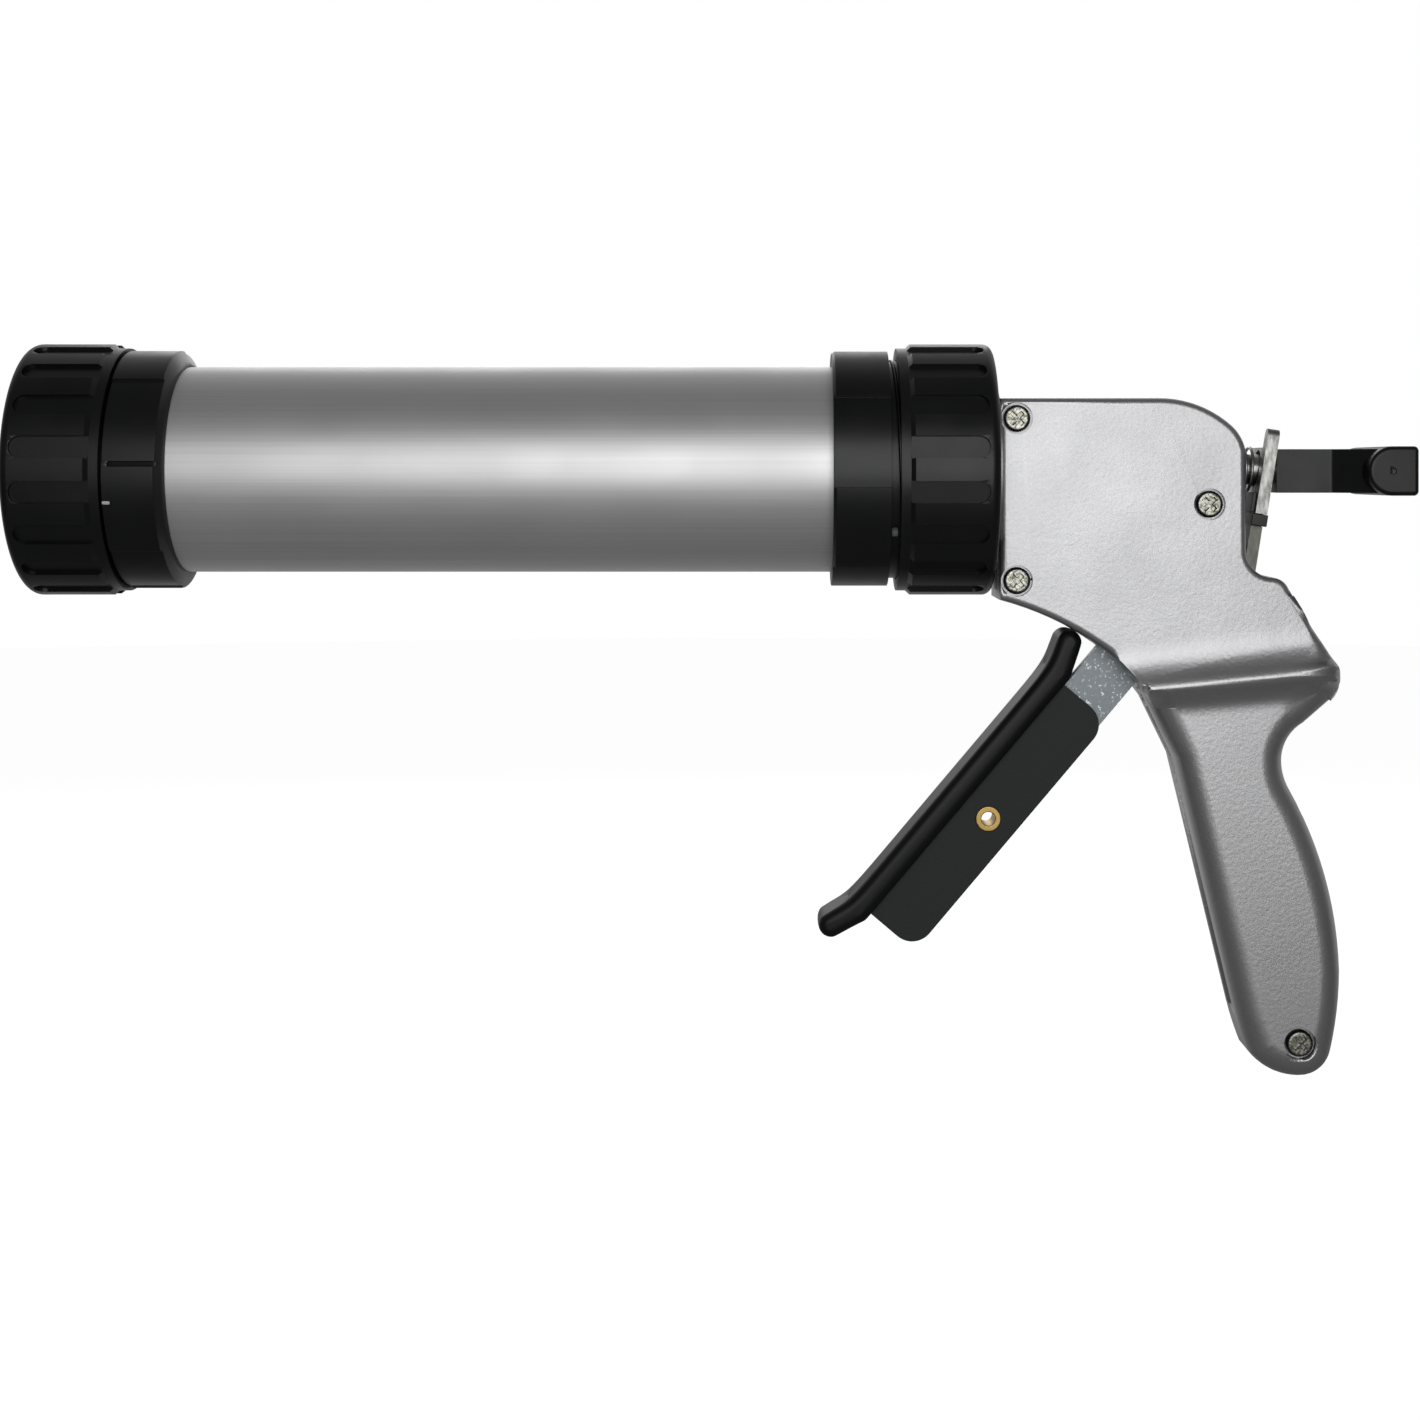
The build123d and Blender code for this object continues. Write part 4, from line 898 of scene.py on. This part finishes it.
make_barrel()
make_screws()
make_threads()
make_marks()
make_springs()
make_shade_flap()
dressed("front_ring_nut", "front_nut", BLACK, 0.5)
dressed("rear_ring_nut", "rear_nut", BLACK, 0.5)
dressed("front_collar", "barrel", BLACK, 0.3)
dressed("rear_collar", "barrel", BLACK, 0.3)
make_housing("housing_left")
make_housing("housing_right")
dressed("trigger_lever", "trigger", LEVER, 0.3)
make_grip()
dressed("grip_eyelet", "trigger", BRASS, 0.28, segments=4)
dressed("release_plate", "release", PLATE, 0.2)
dressed("plate_grommet", "release", BLACK, 0.3)
dressed("push_rod", "rod", ROD)
make_rod_handle()
dressed("front_seal_ring", "front_carrier", SEAL, 0.3)
dressed("barrel_flange", "housing", CASTING, 0.3)
dressed("rod_bush", "housing", BUSH)
dressed("trigger_pivot_sleeve", "housing", STEEL)
dressed("drive_plate", "drive_plate", STEEL, 0.3)
dressed("piston", "rod", PISTON, 0.3)
dressed("piston_washer", "rod", STEEL, 0.2)
dressed("piston_screw", "rod", STEEL, 0.2)


# Camera, light and studio

def place_camera():
    """Level camera in front of the gun."""
    lens = bpy.data.cameras.new("camera")
    lens.lens = CAMERA_LENS
    lens.sensor_width = CAMERA_SENSOR
    lens.shift_x, lens.shift_y = CAMERA_SHIFT
    lens.clip_start = CAMERA_NEAR
    camera = bpy.data.objects.new("camera", lens)
    camera.location = CAMERA_PLACE
    camera.rotation_euler = (radians(90), 0, 0)
    scene.collection.objects.link(camera)
    scene.camera = camera


def place_softbox(name, place, aim, size, power):
    """A rectangular lamp turned towards a point."""
    lamp = bpy.data.lights.new(name, "AREA")
    lamp.shape = "RECTANGLE"
    lamp.size, lamp.size_y = size
    lamp.energy = power
    softbox = bpy.data.objects.new(name, lamp)
    softbox.location = place
    softbox.rotation_euler = (aim - place).to_track_quat("-Z", "Y").to_euler()
    scene.collection.objects.link(softbox)


def background_share(nodes, position, near, far):
    """How white a ray sees the studio: fully when looked at, partly in gloss behind the gun."""
    path = nodes.add("ShaderNodeLightPath").outputs
    seen = nodes.combined("MAXIMUM", path["Is Camera Ray"], path["Is Transmission Ray"])
    behind = nodes.graded(nodes.part(position, "Y"), near, far, 0, BACK_GLOSS)
    gloss = nodes.combined("MULTIPLY", path["Is Glossy Ray"], behind)
    return nodes.combined("MAXIMUM", seen, gloss)


def light_room():
    """Dim room that looks white behind the gun."""
    world = bpy.data.worlds.new("studio")
    world.use_nodes = True
    scene.world = world
    nodes = Nodes(world.node_tree)
    place = nodes.add("ShaderNodeTexCoord").outputs["Generated"]
    tone = nodes.blended(background_share(nodes, place, *ROOM_BEHIND), ROOM_TONE, WHITE)
    nodes.feed(tone, nodes.tree.nodes["Background"].inputs["Color"])


def floor_paper():
    """Matt paper that looks nearly white but keeps the shadow."""
    paper = bpy.data.materials.new("floor_paper")
    paper.use_nodes = True
    nodes = Nodes(paper.node_tree)
    matt = nodes.tree.nodes["Principled BSDF"]
    matt.inputs["Roughness"].default_value = 0.9
    matt.inputs["Specular IOR Level"].default_value = 0.0
    matt.inputs["Emission Color"].default_value = (*WHITE, 1)
    path = nodes.add("ShaderNodeLightPath").outputs
    tone = nodes.blended(path["Is Glossy Ray"], FLOOR_TONE, FLOOR_GLOSS_TONE)
    nodes.feed(tone, matt.inputs["Base Color"])
    place = nodes.add("ShaderNodeTexCoord").outputs["Object"]
    share = background_share(nodes, place, *FLOOR_BEHIND)
    glow = nodes.combined("MULTIPLY", share, FLOOR_GLOW)
    nodes.feed(glow, matt.inputs["Emission Strength"])
    return paper


def lay_floor():
    """Round sheet of paper under the gun."""
    shape = bmesh.new()
    bmesh.ops.create_circle(shape, cap_ends=True, segments=FLOOR_SIDES, radius=FLOOR_REACH)
    bmesh.ops.translate(shape, verts=shape.verts, vec=FLOOR_CENTRE)
    mesh = bpy.data.meshes.new("floor")
    shape.to_mesh(mesh)
    shape.free()
    mesh.materials.append(floor_paper())
    floor = bpy.data.objects.new("floor", mesh)
    scene.collection.objects.link(floor)


place_camera()
light_room()
lay_floor()
place_softbox("softbox", SOFTBOX_PLACE, SOFTBOX_AIM, SOFTBOX_SIZE, SOFTBOX_POWER)
place_softbox("back_fill", BACK_FILL_PLACE, BACK_FILL_AIM, BACK_FILL_SIZE, BACK_FILL_POWER)
